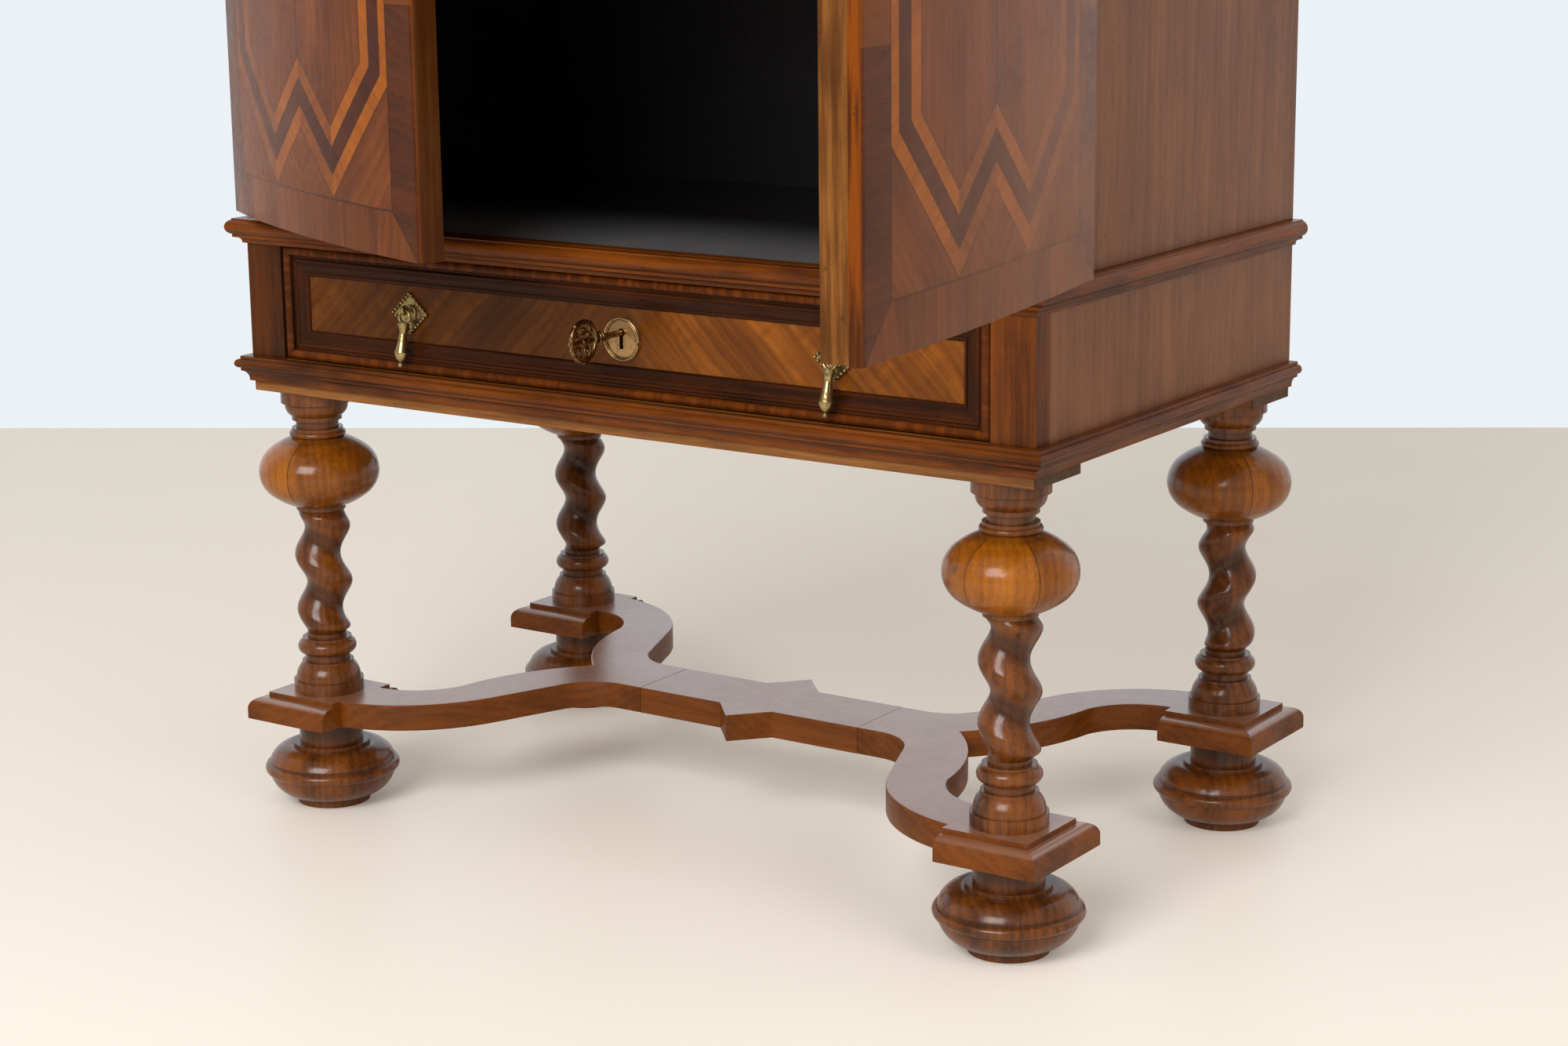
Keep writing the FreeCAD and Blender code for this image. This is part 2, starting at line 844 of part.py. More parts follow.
def frame_outline():
    """Bead, groove, reed, cove and inner bead of the drawer frame: inward against height."""
    top = float(s.drawer_recess)
    width = float(s.frame_width)
    bead_start = (0, top * 0.66)
    bead_end = (-width * 0.32, top * 0.66)
    groove = top * 0.38
    reed_start = (-width * 0.4, groove)
    reed_end = (-width * 0.56, groove)
    cove_start = (-width * 0.64, groove)
    cove_end = (-width * 0.86, top * 0.2)
    inner = (-width * 0.88, top * 0.34)
    return (0, 0), [
        bead_start,
        (bulge(bead_start, bead_end, top * 0.34), bead_end),
        (bead_end[0], groove),
        reed_start,
        (bulge(reed_start, reed_end, top * 0.2), reed_end),
        cove_start,
        (bulge(cove_start, cove_end, -top * 0.08), cove_end),
        (inner[0], cove_end[1]),
        inner,
        (bulge(inner, (-width, top * 0.1), top * 0.08), (-width, top * 0.1)),
        (-width, 0),
    ]


def axes(x_axis, y_axis, z_axis):
    return FreeCAD.Rotation(FreeCAD.Vector(*x_axis), FreeCAD.Vector(*y_axis), FreeCAD.Vector(*z_axis), "XYZ")


def make_drawer_frame():
    half = opening_half - s.drawer_gap
    width = half * 2
    runs = {
        "top": (width, (-half, drawer_top), axes((1, 0, 0), (0, 0, 1), (0, -1, 0))),
        "bottom": (width, (half, drawer_bottom), axes((-1, 0, 0), (0, 0, -1), (0, -1, 0))),
        "left": (s.drawer_height, (-half, drawer_bottom), axes((0, 0, 1), (-1, 0, 0), (0, -1, 0))),
        "right": (s.drawer_height, (half, drawer_top), axes((0, 0, -1), (1, 0, 0), (0, -1, 0))),
    }
    pieces = []
    for run, (length, (x, z), rotation) in runs.items():
        piece = strip(f"drawer_frame_{run}", frame_outline(), s.frame_width, length, (-1, -1))
        place(piece, x, panel_face, z, rotation)
        pieces.append(piece)
    node(grouped("drawer_frame", pieces), "drawer_frame")


def keyhole(name, near, far):
    """A cutter for the keyhole: a round hole with a slot below it, along Y."""
    length = far - near
    round_hole = cylinder(name + "_round", s.keyhole_radius, length, s.lock_across, near, key_level,
                          turn((1, 0, 0), -90))
    slot = block(name + "_slot", (s.lock_across - s.keyhole_slot_half, s.lock_across + s.keyhole_slot_half),
                 (near, far), (key_level - s.keyhole_drop, key_level))
    return fused(name, [round_hole, slot])


def make_drawer_box():
    half = opening_half - s.drawer_gap
    side_bottom = bottom_top + s.slide_gap
    side_top = drawer_top - s.drawer_side_drop
    rear = back - s.back_thick - s.drawer_back_gap
    panel_low = side_bottom + s.drawer_bottom_rise
    panel_high = panel_low + s.drawer_bottom_thick
    inner = half - s.drawer_side_thick
    tongue = inner + s.groove_depth
    plank = block("drawer_front_plank", (-half, half), (panel_face, panel_back), (drawer_bottom, drawer_top))
    shanks = [
        cylinder(f"drawer_front_shank_{word}", s.eye_wire + s.pin_gap, s.drawer_front_thick,
                 s.handle_across * side, panel_face, handle_level + s.eye_rise, turn((1, 0, 0), -90))
        for side, word in ((-1, "left"), (1, "right"))
    ]
    groove = block("drawer_front_groove", (-tongue, tongue), (panel_back - s.groove_depth, panel_back),
                   (panel_low, panel_high))
    mouth = keyhole("drawer_front_keyhole", panel_face, panel_back)
    node(cut("drawer_front", plank, [mouth, groove] + shanks), "drawer_front")
    for side, word in ((-1, "left"), (1, "right")):
        plank = block(f"drawer_side_{word}_plank", (inner * side, half * side), (panel_back, rear),
                      (side_bottom, side_top))
        slot = block(f"drawer_side_{word}_slot", (inner * side, tongue * side), (panel_back, rear),
                     (panel_low, panel_high))
        node(cut(f"drawer_side_{word}", plank, [slot]), f"drawer_side_{word}")
    board("drawer_back", (-inner, inner), (rear - s.drawer_back_thick, rear), (panel_high, side_top))
    board("drawer_bottom", (-tongue, tongue), (panel_back - s.groove_depth, rear), (panel_low, panel_high))


def make_handles():
    """Lozenge plates, cotter eyes and leaning pear drops."""
    eye_y = panel_face - s.eye_reach
    eye_level = handle_level + s.eye_rise
    plates = []
    eyes = []
    for side, word in ((-1, "left"), (1, "right")):
        across = s.handle_across * side
        points = [(-s.plate_half_width, 0), (0, s.plate_half_height), (s.plate_half_width, 0)]
        name = f"handle_plate_{word}"
        lozenge = padded(name + "_lozenge", "XZ_Plane", (0, -s.plate_half_height), points, s.plate_thick)
        place(lozenge, across, panel_face, handle_level)
        boss = cylinder(name + "_boss", s.plate_boss_radius, s.plate_thick * 1.5, across, panel_face,
                        handle_level, turn((1, 0, 0), 90))
        bore = cylinder(name + "_bore", s.eye_wire + s.pin_gap, s.plate_thick * 2, across, panel_face,
                        eye_level, turn((1, 0, 0), 90))
        plates.append(cut(name, fused(name + "_body", [lozenge, boss]), [bore]))
        shank_length = s.eye_reach - s.eye_radius + s.drawer_front_thick
        shank = cylinder(f"handle_eye_{word}_shank", s.eye_wire, shank_length, across, eye_y + s.eye_radius,
                         eye_level, turn((1, 0, 0), -90))
        loop = ring(f"handle_eye_{word}_loop", s.eye_radius, s.eye_wire, across, eye_y, eye_level,
                    turn((0, 1, 0), 90))
        eyes.append(fused(f"handle_eye_{word}", [shank, loop]))
        make_drop(f"handle_drop_{word}", across, eye_y, eye_level)
    node(grouped("handle_plates", plates), "handle_plates")
    node(grouped("handle_eyes", eyes), "handle_eyes")


def make_drop(label, across, along, level):
    """A pear drop under a wire ring that hangs in its eye by a straight pin."""
    collar = -(s.ring_radius * 2)
    tip = collar - s.drop_length
    finial = tip + s.drop_finial_radius * 2
    bulb = tip + s.drop_length * 0.34
    bulb_root = (s.drop_finial_radius * 0.6, finial)
    widest = (s.drop_bulb_radius, bulb)
    neck = (s.drop_neck_radius, collar - s.drop_length * 0.24)
    rim_foot = (s.drop_collar_radius, collar - s.drop_length * 0.06)
    pear = turned(label + "_pear", (0, tip), [
        (bulge((0, tip), bulb_root, s.drop_finial_radius * 0.8), bulb_root),
        (bulge(bulb_root, widest, s.drop_bulb_radius * 0.2), widest),
        (bulge(widest, neck, -s.drop_neck_radius * 0.1), neck),
        (bulge(neck, rim_foot, -s.drop_neck_radius * 0.1), rim_foot),
        (s.drop_collar_radius, collar),
        (0, collar),
    ])
    stirrup = ring(label + "_ring", s.ring_radius, s.ring_wire, 0, 0, -s.ring_radius, turn((1, 0, 0), 90))
    pin = cylinder(label + "_pin", s.eye_radius - s.eye_wire - s.pin_gap, s.drop_pin_length,
                   -s.drop_pin_length / 2, 0, 0, turn((0, 1, 0), 90))
    drop = fused(label, [pear, stirrup, pin])
    place(drop, across, along, level, turn((-1, 0, 0), s.drop_lean))
    bind(drop, "Placement.Rotation.Angle", s.drop_lean)
    node(drop, label)


def make_lock():
    rim = s.escutcheon_thick * 0.5
    disc = turned("escutcheon_disc", (0, 0), [
        (s.escutcheon_radius, 0),
        (s.escutcheon_radius, rim),
        (bulge((s.escutcheon_radius, rim), (0, s.escutcheon_thick), s.escutcheon_thick * 0.2),
         (0, s.escutcheon_thick)),
    ])
    place(disc, s.lock_across, panel_face, key_level - s.key_rise, turn((1, 0, 0), 90))
    hole = keyhole("escutcheon_keyhole", panel_face - s.escutcheon_thick * 2, panel_face)
    node(cut("escutcheon", disc, [hole]), "escutcheon")

    bolt_front = panel_back + s.bolt_gap
    bolt_back = bolt_front + s.bolt_thick
    bolt_foot = key_level + s.key_radius * 2
    bolt_top = drawer_top - s.drawer_gap
    lock_back = panel_back + s.lock_thick
    lock_top = bolt_top - s.bolt_travel
    across = (s.lock_across - s.lock_half_width, s.lock_across + s.lock_half_width)
    slot = (s.lock_across - s.bolt_half_width - s.bolt_gap, s.lock_across + s.bolt_half_width + s.bolt_gap)
    case = block("lock_case_body", across, (panel_back, lock_back), (key_level - s.lock_drop, lock_top))
    channel = block("lock_case_channel", slot, (panel_back, bolt_back + s.bolt_gap),
                    (bolt_foot - s.bolt_gap, lock_top))
    cavity = cylinder("lock_case_cavity", s.lock_cavity_radius, lock_back - bolt_back - s.bolt_gap * 3,
                      s.lock_across, bolt_back + s.bolt_gap * 2, key_level, turn((1, 0, 0), -90))
    mouth = keyhole("lock_case_keyhole", panel_back, bolt_back + s.bolt_gap * 2)
    node(cut("lock_case", case, [channel, cavity, mouth]), "lock_case")
    board("lock_bolt", (s.lock_across - s.bolt_half_width, s.lock_across + s.bolt_half_width),
          (bolt_front, bolt_back), (bolt_foot, bolt_top))
    make_key(bolt_back + s.bolt_gap * 3)
    return bolt_front, bolt_back


def make_key(bit_front):
    """A key in the lock: shaft with its bit down, collar and a pierced bow."""
    outer = front - s.key_reach
    bit_back = bit_front + s.key_bit_length
    bow_centre = outer - s.key_bow_half_length
    along = turn((1, 0, 0), -90)
    upright = turn((0, 1, 0), 90)
    shaft = cylinder("key_shaft", s.key_radius, bit_back - outer, s.lock_across, outer, key_level, along)
    collar = cylinder("key_collar", s.key_collar_radius, s.key_radius * 2, s.lock_across, outer, key_level,
                      along)
    bit = block("key_bit", (s.lock_across - s.key_radius / 2, s.lock_across + s.key_radius / 2),
                (bit_front, bit_back), (key_level - s.keyhole_drop + s.fit_gap * 2, key_level))
    bow = ring("key_bow", s.key_bow_half_height - s.key_bow_wire, s.key_bow_wire, s.lock_across, bow_centre,
               key_level, upright)
    inner_radius = (s.key_bow_half_height - s.key_bow_wire) / 2
    scrolls = [
        ring(f"key_scroll_{word}", inner_radius, s.key_bow_wire * 0.75, s.lock_across, bow_centre,
             key_level + inner_radius * side, upright)
        for side, word in ((-1, "low"), (1, "high"))
    ]
    stem = cylinder("key_stem", s.key_bow_wire * 0.75, s.key_bow_half_length * 2, s.lock_across,
                    outer - s.key_bow_half_length * 2, key_level, along)
    node(fused("drawer_key", [shaft, collar, bit, bow, stem] + scrolls), "drawer_key")


# cupboard

def make_floor(bolt_front, bolt_back):
    thick = s.floor_thick
    plank = padded("cupboard_floor_plank", "YZ_Plane", (back, 0), [
        (back, thick),
        (front + s.floor_round, thick),
        (bulge((front, thick - s.floor_round), (front + s.floor_round, thick), -s.floor_round * 0.29),
         (front, thick - s.floor_round)),
        (front, 0),
    ], s.case_half * 2, midplane=True)
    place(plank, 0, 0, case_top)
    mortise_half = s.bolt_half_width + s.mortise_gap
    mortise = block("cupboard_floor_mortise", (s.lock_across - mortise_half, s.lock_across + mortise_half),
                    (bolt_front - s.mortise_gap, bolt_back + s.mortise_gap),
                    (case_top, case_top + s.bolt_travel))
    node(cut("cupboard_floor", plank, [mortise]), "cupboard_floor")


def hinge_levels():
    lowest = floor_top + s.door_lift + s.hinge_inset
    highest = cupboard_top - s.door_head_gap - s.hinge_inset
    return (("low", lowest - s.hinge_length / 2), ("high", highest - s.hinge_length / 2))


def make_cupboard():
    back_face = back - s.back_thick
    roof = cupboard_top + s.frieze_height
    upright = (floor_top, roof)
    shelf_bottom = floor_top + s.shelf_height
    housing = s.side_thick / 3
    shelf_half = inside_half + housing
    shelf_run = (carcass_front + s.shelf_setback, back_face)
    shelf_level = (shelf_bottom, shelf_bottom + s.shelf_thick)
    for side, word in ((-1, "left"), (1, "right")):
        name = f"cupboard_side_{word}"
        plank = block(name + "_plank", (inside_half * side, s.case_half * side), (carcass_front, back),
                      upright)
        groove = block(name + "_groove", (inside_half * side, shelf_half * side), shelf_run, shelf_level)
        recesses = [
            block(f"{name}_recess_{level}", ((s.case_half - s.leaf_width) * side, s.case_half * side),
                  (carcass_front, carcass_front + s.leaf_thick), (start, start + s.hinge_length))
            for level, start in hinge_levels()
        ]
        node(cut(name, plank, [groove] + recesses), name)
    between = (-inside_half, inside_half)
    board("cupboard_shelf", (-shelf_half, shelf_half), shelf_run, shelf_level)
    board("cupboard_back", between, (back_face, back), upright)
    board("cupboard_top", between, (carcass_front, back_face), (cupboard_top - s.top_thick, cupboard_top))
    board("cupboard_frieze", (-s.case_half, s.case_half), (front, carcass_front), (cupboard_top, roof))


def cornice_outline():
    """Bead, cyma and crown of the cornice, from its foot up."""
    height = float(s.frieze_height)
    out = float(s.cornice_out)
    foot = (-out * 0.2, 0)
    bead_top = (-out * 0.2, height * 0.12)
    neck = (-out * 0.12, height * 0.18)
    turn_over = (-out * 0.5, height * 0.5)
    crown_foot = (-out * 0.88, height * 0.78)
    return (0, 0), [
        foot,
        (bulge(foot, bead_top, -height * 0.05), bead_top),
        (neck[0], bead_top[1]),
        neck,
        (bulge(neck, turn_over, height * 0.08), turn_over),
        (bulge(turn_over, crown_foot, -height * 0.06), crown_foot),
        (-out, crown_foot[1]),
        (-out, height),
        (0, height),
    ]


# doors and hinges

def door_steps(side, thick, bow, lap):
    """The plan of a door closed round the hinge pin: bowed faces, a rounded free corner and a lap."""
    near = -(s.door_gap / 2)
    far = near - thick
    edge = -s.hinge_out * side
    free = -(s.hinge_out + s.case_half - s.door_meeting_gap / 2) * side
    tip = free - lap * side
    hinge_corner = (edge, far)
    nose_start = (tip + s.door_nose * side, far)
    nose_end = (tip, far + s.door_nose)
    free_corner = (free, near)
    flat_end = (edge - s.door_flat * side, near)
    steps = [
        hinge_corner,
        (bulge(hinge_corner, nose_start, bow * -side), nose_start),
        (bulge(nose_start, nose_end, s.door_nose * 0.29 * -side), nose_end),
    ]
    if float(lap) > 0:
        back = far + s.right_door_thick - s.left_door_thick - s.door_lap_gap
        steps += [(tip, back), (free, back)]
    steps += [free_corner, (bulge(free_corner, flat_end, bow * 0.9 * side), flat_end)]
    return (edge, near), steps


def make_door(label, side, angle, thick, bow, lap):
    """A door and its hinge leaves, made closed round the hinge pin and then opened."""
    near_y = -(s.door_gap / 2)
    edge = s.hinge_out
    bottom = floor_top + s.door_lift
    height = s.cupboard_height - s.door_lift - s.door_head_gap
    plank = padded(label + "_plank", "XY_Plane", *door_steps(side, thick, bow, lap), height)
    place(plank, 0, 0, bottom)
    recesses = [
        block(f"{label}_recess_{level}", (-edge * side, -(edge + s.leaf_width) * side),
              (near_y - s.leaf_thick, near_y), (start, start + s.hinge_length))
        for level, start in hinge_levels()
    ]
    leaves = [make_door_leaf(f"{label}_leaf_{level}", side, start) for level, start in hinge_levels()]
    pieces = (
        (cut(label, plank, recesses), label),
        (grouped(label + "_hinges", leaves), label + "_hinges"),
    )
    for piece, name in pieces:
        place(piece, (s.case_half + s.hinge_out) * side, carcass_front - s.door_gap / 2, 0,
              turn((0, 0, side), angle))
        bind(piece, "Placement.Rotation.Angle", angle)
        node(piece, name)


def leaf_plate(name, side, start, depth):
    """The flat of a hinge leaf beside the knuckles. Depth is 1 on the cupboard and -1 on a door."""
    gap = s.door_gap / 2 * depth
    thick = (s.door_gap / 2 + s.leaf_thick) * depth
    reach = s.knuckle_radius + s.knuckle_gap
    return block(name, (-(s.hinge_out + s.leaf_width) * side, -reach * side), (gap, thick),
                 (start, start + s.hinge_length))


def leaf_tongue(name, side, depth, low, high):
    gap = s.door_gap / 2 * depth
    thick = (s.door_gap / 2 + s.leaf_thick) * depth
    return block(name, (-(s.hinge_out + s.leaf_width / 2) * side, 0), (gap, thick), (low, high))


def make_door_leaf(name, side, start):
    """The leaf on a door: one knuckle in the middle, bored for the pin."""
    low = start + s.hinge_length / 3 + s.knuckle_gap
    high = start + s.hinge_length * 2 / 3 - s.knuckle_gap
    barrel = cylinder(name + "_knuckle", s.knuckle_radius, high - low, 0, 0, low)
    solid = fused(name + "_solid", [
        leaf_plate(name + "_plate", side, start, -1),
        leaf_tongue(name + "_tongue", side, -1, low, high),
        barrel,
    ])
    bore = cylinder(name + "_bore", s.pin_radius + s.pin_gap, high - low, 0, 0, low)
    return cut(name, solid, [bore])


def make_fixed_leaf(name, side, start):
    """The leaf on the cupboard: two knuckles that carry the pin."""
    third = s.hinge_length / 3
    parts = [leaf_plate(name + "_plate", side, start, 1)]
    for word, low in (("low", start), ("high", start + third * 2)):
        parts.append(cylinder(f"{name}_knuckle_{word}", s.knuckle_radius, third, 0, 0, low))
        parts.append(leaf_tongue(f"{name}_tongue_{word}", side, 1, low, low + third))
    parts.append(cylinder(name + "_pin", s.pin_radius, s.hinge_length, 0, 0, start))
    leaf = fused(name, parts)
    place(leaf, (s.case_half + s.hinge_out) * side, carcass_front - s.door_gap / 2)
    return leaf


def make_fixed_hinges():
    leaves = [
        make_fixed_leaf(f"fixed_leaf_{word}_{level}", side, start)
        for side, word in ((-1, "left"), (1, "right"))
        for level, start in hinge_levels()
    ]
    node(grouped("cupboard_hinges", leaves), "cupboard_hinges")


def build():
    fill_sheet()
    make_stand()
    make_stretcher()
    make_leg_rails()
    make_case()
    lower_level = bottom_top - s.lower_drop
    waist_level = floor_top - s.waist_height
    lower = band_outline(s.lower_drop, s.lower_out, s.lower_roll_top, s.lower_roll_foot)
    waist = band_outline(s.waist_height, s.waist_out, s.waist_roll_top, s.waist_roll_foot)
    make_band("lower_moulding", lower, s.lower_out, lower_level)
    make_band("waist_moulding", waist, s.waist_out, waist_level)
    make_drawer_frame()
    make_drawer_box()
    make_handles()
    make_floor(*make_lock())
    make_cupboard()
    make_band("cornice", cornice_outline(), s.cornice_out, cupboard_top)
    make_fixed_hinges()
    make_door("left_door", -1, s.left_door_angle, s.left_door_thick, s.left_door_bow, 0)
    make_door("right_door", 1, s.right_door_angle, s.right_door_thick, s.right_door_bow, s.door_lap)
    doc.recompute()


def check():
    for item in doc.Objects:
        if "Invalid" in item.State or "Error" in item.State:
            raise RuntimeError(f"{item.Name} did not build: {item.State}")
    for item in nodes:
        if item.Shape.isNull() or not item.Shape.isValid():
            raise RuntimeError(f"{item.Label} has no valid shape")


def write():
    os.makedirs("parts", exist_ok=True)
    for item in nodes:
        item.Shape.exportStep(os.path.join("parts", item.Label + ".step"))
    print(len(nodes), "pieces written")


build()
check()
write()
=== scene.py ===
"""Looks and stage for a walnut cabinet on a barley-twist stand.

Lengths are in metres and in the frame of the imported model.
"""

import json
import math

import bmesh
import bpy
from mathutils import Matrix, Vector


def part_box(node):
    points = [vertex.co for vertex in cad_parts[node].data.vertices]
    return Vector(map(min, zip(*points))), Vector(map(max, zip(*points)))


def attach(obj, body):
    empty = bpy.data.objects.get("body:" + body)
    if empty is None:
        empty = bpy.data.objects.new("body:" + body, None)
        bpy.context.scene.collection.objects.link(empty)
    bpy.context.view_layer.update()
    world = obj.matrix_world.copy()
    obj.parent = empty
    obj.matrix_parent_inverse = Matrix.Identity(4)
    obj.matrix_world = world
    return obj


bl_info = {
    "name": "Cabinet on stand",
    "version": (1, 0, 0),
    "blender": (4, 5, 0),
    "location": "View3D > Sidebar > Cabinet",
    "description": "Finishes, brass details and stage of a walnut cabinet on a barley-twist stand",
    "category": "Object",
}

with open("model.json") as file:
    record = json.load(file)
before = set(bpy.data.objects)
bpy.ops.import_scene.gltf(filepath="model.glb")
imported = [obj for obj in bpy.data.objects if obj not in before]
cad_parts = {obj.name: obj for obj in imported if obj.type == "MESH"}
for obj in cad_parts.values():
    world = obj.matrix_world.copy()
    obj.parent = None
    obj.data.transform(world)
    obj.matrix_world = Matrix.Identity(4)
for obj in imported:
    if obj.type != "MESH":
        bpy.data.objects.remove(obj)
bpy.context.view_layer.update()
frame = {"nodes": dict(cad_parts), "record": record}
nodes = frame["nodes"]
joints = {joint["name"]: joint for joint in frame["record"]["behaviour"]["joints"]}

CORNERS = ("front_left", "front_right", "rear_left", "rear_right")

# places on the cabinet, in metres
LEG_ACROSS = 0.33
LEG_ALONG = 0.174
FOOT_TOP = 0.0755
FOOT_RING = 0.0362
TWIST_LEVELS = (0.1462, 0.2526)
BALL_LEVELS = (0.2524, 0.3144)
STRETCHER_SEAM = 0.1085
RAIL_END = 0.3655
FLOOR_LIP = 0.0165
FLOOR_ROUND = (0.4905, 0.4945)
HANDLE_ACROSS = 0.2
BOSS_RADIUS = 0.0062

# bow and shaft of the key: the rings' places along the shaft with their radii, in metres
KNOB_INSET = 0.0012
SHAFT_START = 0.0015
SHAFT_RINGS = ((0.0, 0.0034), (0.0022, 0.0041), (0.0044, 0.0032))
SHAFT_RING_WIRE = 0.0011
SCROLL_STEPS = 25

# inlay of the doors: from the free edge and up from the lower edge, in metres
INLAY_MIDDLE = 0.187
ZIGZAG_HALF = 0.057
INLAY_EDGES = ((0.035, 0.150), (0.0524, 0.1393), (0.072, 0.124), (0.088, 0.110))
FREE_BORDER = 0.037
BORDER = 0.034
HINGE_GAP = 0.0035
BORDER_BLOCK = 0.031
# bloom_and_sheen and its reach: pale bloom and painted sheen of reflected light near the hinge of each door
DOORS = {
    "left_door": {"side": -1, "width": 0.371, "nose": -0.0175,
                  "bloom_and_sheen": 0.5, "bloom_and_sheen_reach": 0.3, "edge_dark": 0.85},
    "right_door": {"side": 1, "width": 0.377, "nose": -0.0195,
                   "bloom_and_sheen": 0.65, "bloom_and_sheen_reach": 0.48, "edge_dark": 0.25},
}

# turns round a ball, in radians
BALL_CHEEK = (-0.2, 0.96)
BALL_SEAMS = (-0.19, 0.95, 2.3, -1.9)

# worn edges and soft edges of the stain, in metres
WORN_MUCH = 0.0009
WORN_SOME = 0.0008
WORN_LITTLE = 0.0006
WELD_REACH = 0.00002
STAIN_EDGE = 0.0003

DIAGONAL = 0.7071
WIRE_SIDES = 8
LAMP_AIM = Vector((0.0, 0.0, 0.45))


def tone(red, green, blue):
    """A colour named in steps of 0 to 255 as the eye reads it, in the light values that shaders use."""
    steps = []
    for value in (red, green, blue):
        share = value / 255.0
        steps.append(share / 12.92 if share < 0.04045 else ((share + 0.055) / 1.055) ** 2.4)
    return tuple(steps)


def colour(name, description, red, green, blue):
    """A colour property with its default."""
    return bpy.props.FloatVectorProperty(
        name=name, description=description, default=tone(red, green, blue), size=3, subtype="COLOR",
        min=0.0, max=1.0,
    )


def number(name, description, default, **settings):
    """A number property with its default and its limits, unit or subtype."""
    return bpy.props.FloatProperty(name=name, description=description, default=default, **settings)


def length(name, description, default):
    """A length property in metres with its default."""
    return number(name, description, default, min=0.0, unit="LENGTH")


class CabinetWood(bpy.types.PropertyGroup):
    """Colours of the polished, raw and stained wood."""

    turned_light: colour("Turned light", "Light grain of the legs and feet", 128, 70, 22)
    turned_dark: colour("Turned dark", "Dark grain of the legs and feet", 64, 31, 8)
    ball_light: colour("Ball light", "Light grain of the golden balls on the legs", 170, 99, 14)
    ball_dark: colour("Ball dark", "Dark grain of the golden balls on the legs", 118, 61, 7)
    stretcher_light: colour("Stretcher light", "Light grain of the stretcher and plinths", 120, 63, 15)
    stretcher_dark: colour("Stretcher dark", "Dark grain of the stretcher and plinths", 78, 39, 8)
    moulding_light: colour("Moulding light", "Light grain of the mouldings", 124, 63, 14)
    moulding_dark: colour("Moulding dark", "Dark grain of the mouldings", 60, 27, 7)
    case_light: colour("Case light", "Light grain of the sides of the case", 128, 80, 46)
    case_dark: colour("Case dark", "Dark grain of the sides of the case", 96, 56, 30)
    frame_light: colour("Frame light", "Light grain of the drawer's frame", 76, 34, 9)
    frame_dark: colour("Frame dark", "Dark grain of the drawer's frame", 36, 15, 3)
    border_light: colour("Border light", "Light grain of the borders of the doors", 90, 42, 14)
    border_dark: colour("Border dark", "Dark grain of the borders of the doors", 56, 25, 7)
    drawer_light: colour("Drawer light", "Light grain of the drawer panel", 152, 86, 21)
    drawer_dark: colour("Drawer dark", "Dark grain of the drawer panel", 92, 48, 11)
    door_light: colour("Door light", "Light grain of the door veneer", 122, 64, 24)
    door_dark: colour("Door dark", "Dark grain of the door veneer", 84, 40, 14)
    string_light: colour("String light", "Light grain of the inlaid strings", 164, 90, 20)
    string_dark: colour("String dark", "Dark grain of the inlaid strings", 130, 67, 15)
    band_light: colour("Band light", "Light grain of the dark inlaid bands", 80, 35, 15)
    band_dark: colour("Band dark", "Dark grain of the dark inlaid bands", 56, 24, 10)
    # bloom of old polish; on the stretcher top and the doors also a painted pale sheen of reflected light
    bloom_and_sheen: colour("Haze", "Bloom of old polish", 150, 106, 84)
    raw_light: colour("Raw light", "Light grain of unpolished wood", 152, 98, 44)
    raw_dark: colour("Raw dark", "Dark grain of unpolished wood", 98, 56, 20)
    lining: colour("Lining", "Black stain inside the cupboard", 20, 18, 17)
    # painted sheen of light on the front of the black floor and shelf
    lining_front_sheen: colour("Floor lining", "Worn front of the black floor and shelf", 116, 115, 115)
    edge_light: colour("Edge light", "Worn polish on edges", 120, 58, 5)
    # also the painted shade in hollows, recesses and under mouldings, and the painted shadow of the left door
    shadow: colour("Shadow", "Seams, dents and grime", 26, 12, 5)


class CabinetMetal(bpy.types.PropertyGroup):
    """Colours of the brass and iron, and the sizes of the details made here."""

    brass: colour("Brass", "Aged brass of the handles and hinges", 172, 150, 104)
    bronze: colour("Bronze", "Coppery bronze of the escutcheon", 172, 139, 96)
    bronze_dark: colour("Dark bronze", "Dull patches of the escutcheon", 126, 95, 62)
    key_bronze: colour("Key bronze", "Dark bronze of the key", 136, 106, 68)
    iron: colour("Iron", "Iron of the lock", 92, 86, 80)
    tarnish: colour("Tarnish", "Dark tarnish in hollows", 52, 38, 22)
    bead_radius: length("Bead radius", "Radius of the beads round the handle plates", 0.0013)
    rim_wire: length("Rim wire", "Thickness of the raised rim of the escutcheon", 0.0011)
    scroll_wire: length("Scroll wire", "Thickness of the scrolls in the bow of the key", 0.0011)


class CabinetStage(bpy.types.PropertyGroup):
    """Floor, background, lights and camera."""

    floor: colour("Floor", "Plain pale floor", 241, 234, 223)
    background: colour("Background", "Pale background", 236, 241, 246)
    room: colour("Room", "Light from all sides", 255, 249, 241)
    ambient: number("Ambient", "Strength of the light from all sides", 0.5, min=0.0)
    key_power: number("Window power", "Large soft light from the front", 120.0, unit="POWER")
    fill_power: number("Fill power", "Soft light from the right", 34.0, unit="POWER")
    floor_glow: number("Floor glow", "How far the floor is pale to the eye alone", 0.12,
                       min=0.0, max=1.0, subtype="FACTOR")
    lens: number("Lens", "Focal length in millimetres", 70.297, unit="CAMERA")
    azimuth: number("Azimuth", "Turn of the camera", math.radians(34.351), subtype="ANGLE")
    elevation: number("Elevation", "Rise of the camera", math.radians(13.081), subtype="ANGLE")
    roll: number("Roll", "Lean of the camera", math.radians(-0.642), subtype="ANGLE")
    place: bpy.props.FloatVectorProperty(name="Place", description="Where the camera stands", size=3,
                                         default=(1.3875, -2.0059, 0.8111), subtype="TRANSLATION")


# shader sheets

def sign(operation):
    """A sign of arithmetic between wires and numbers."""
    return lambda wire, *others: wire.sheet.math(operation, wire, *others)


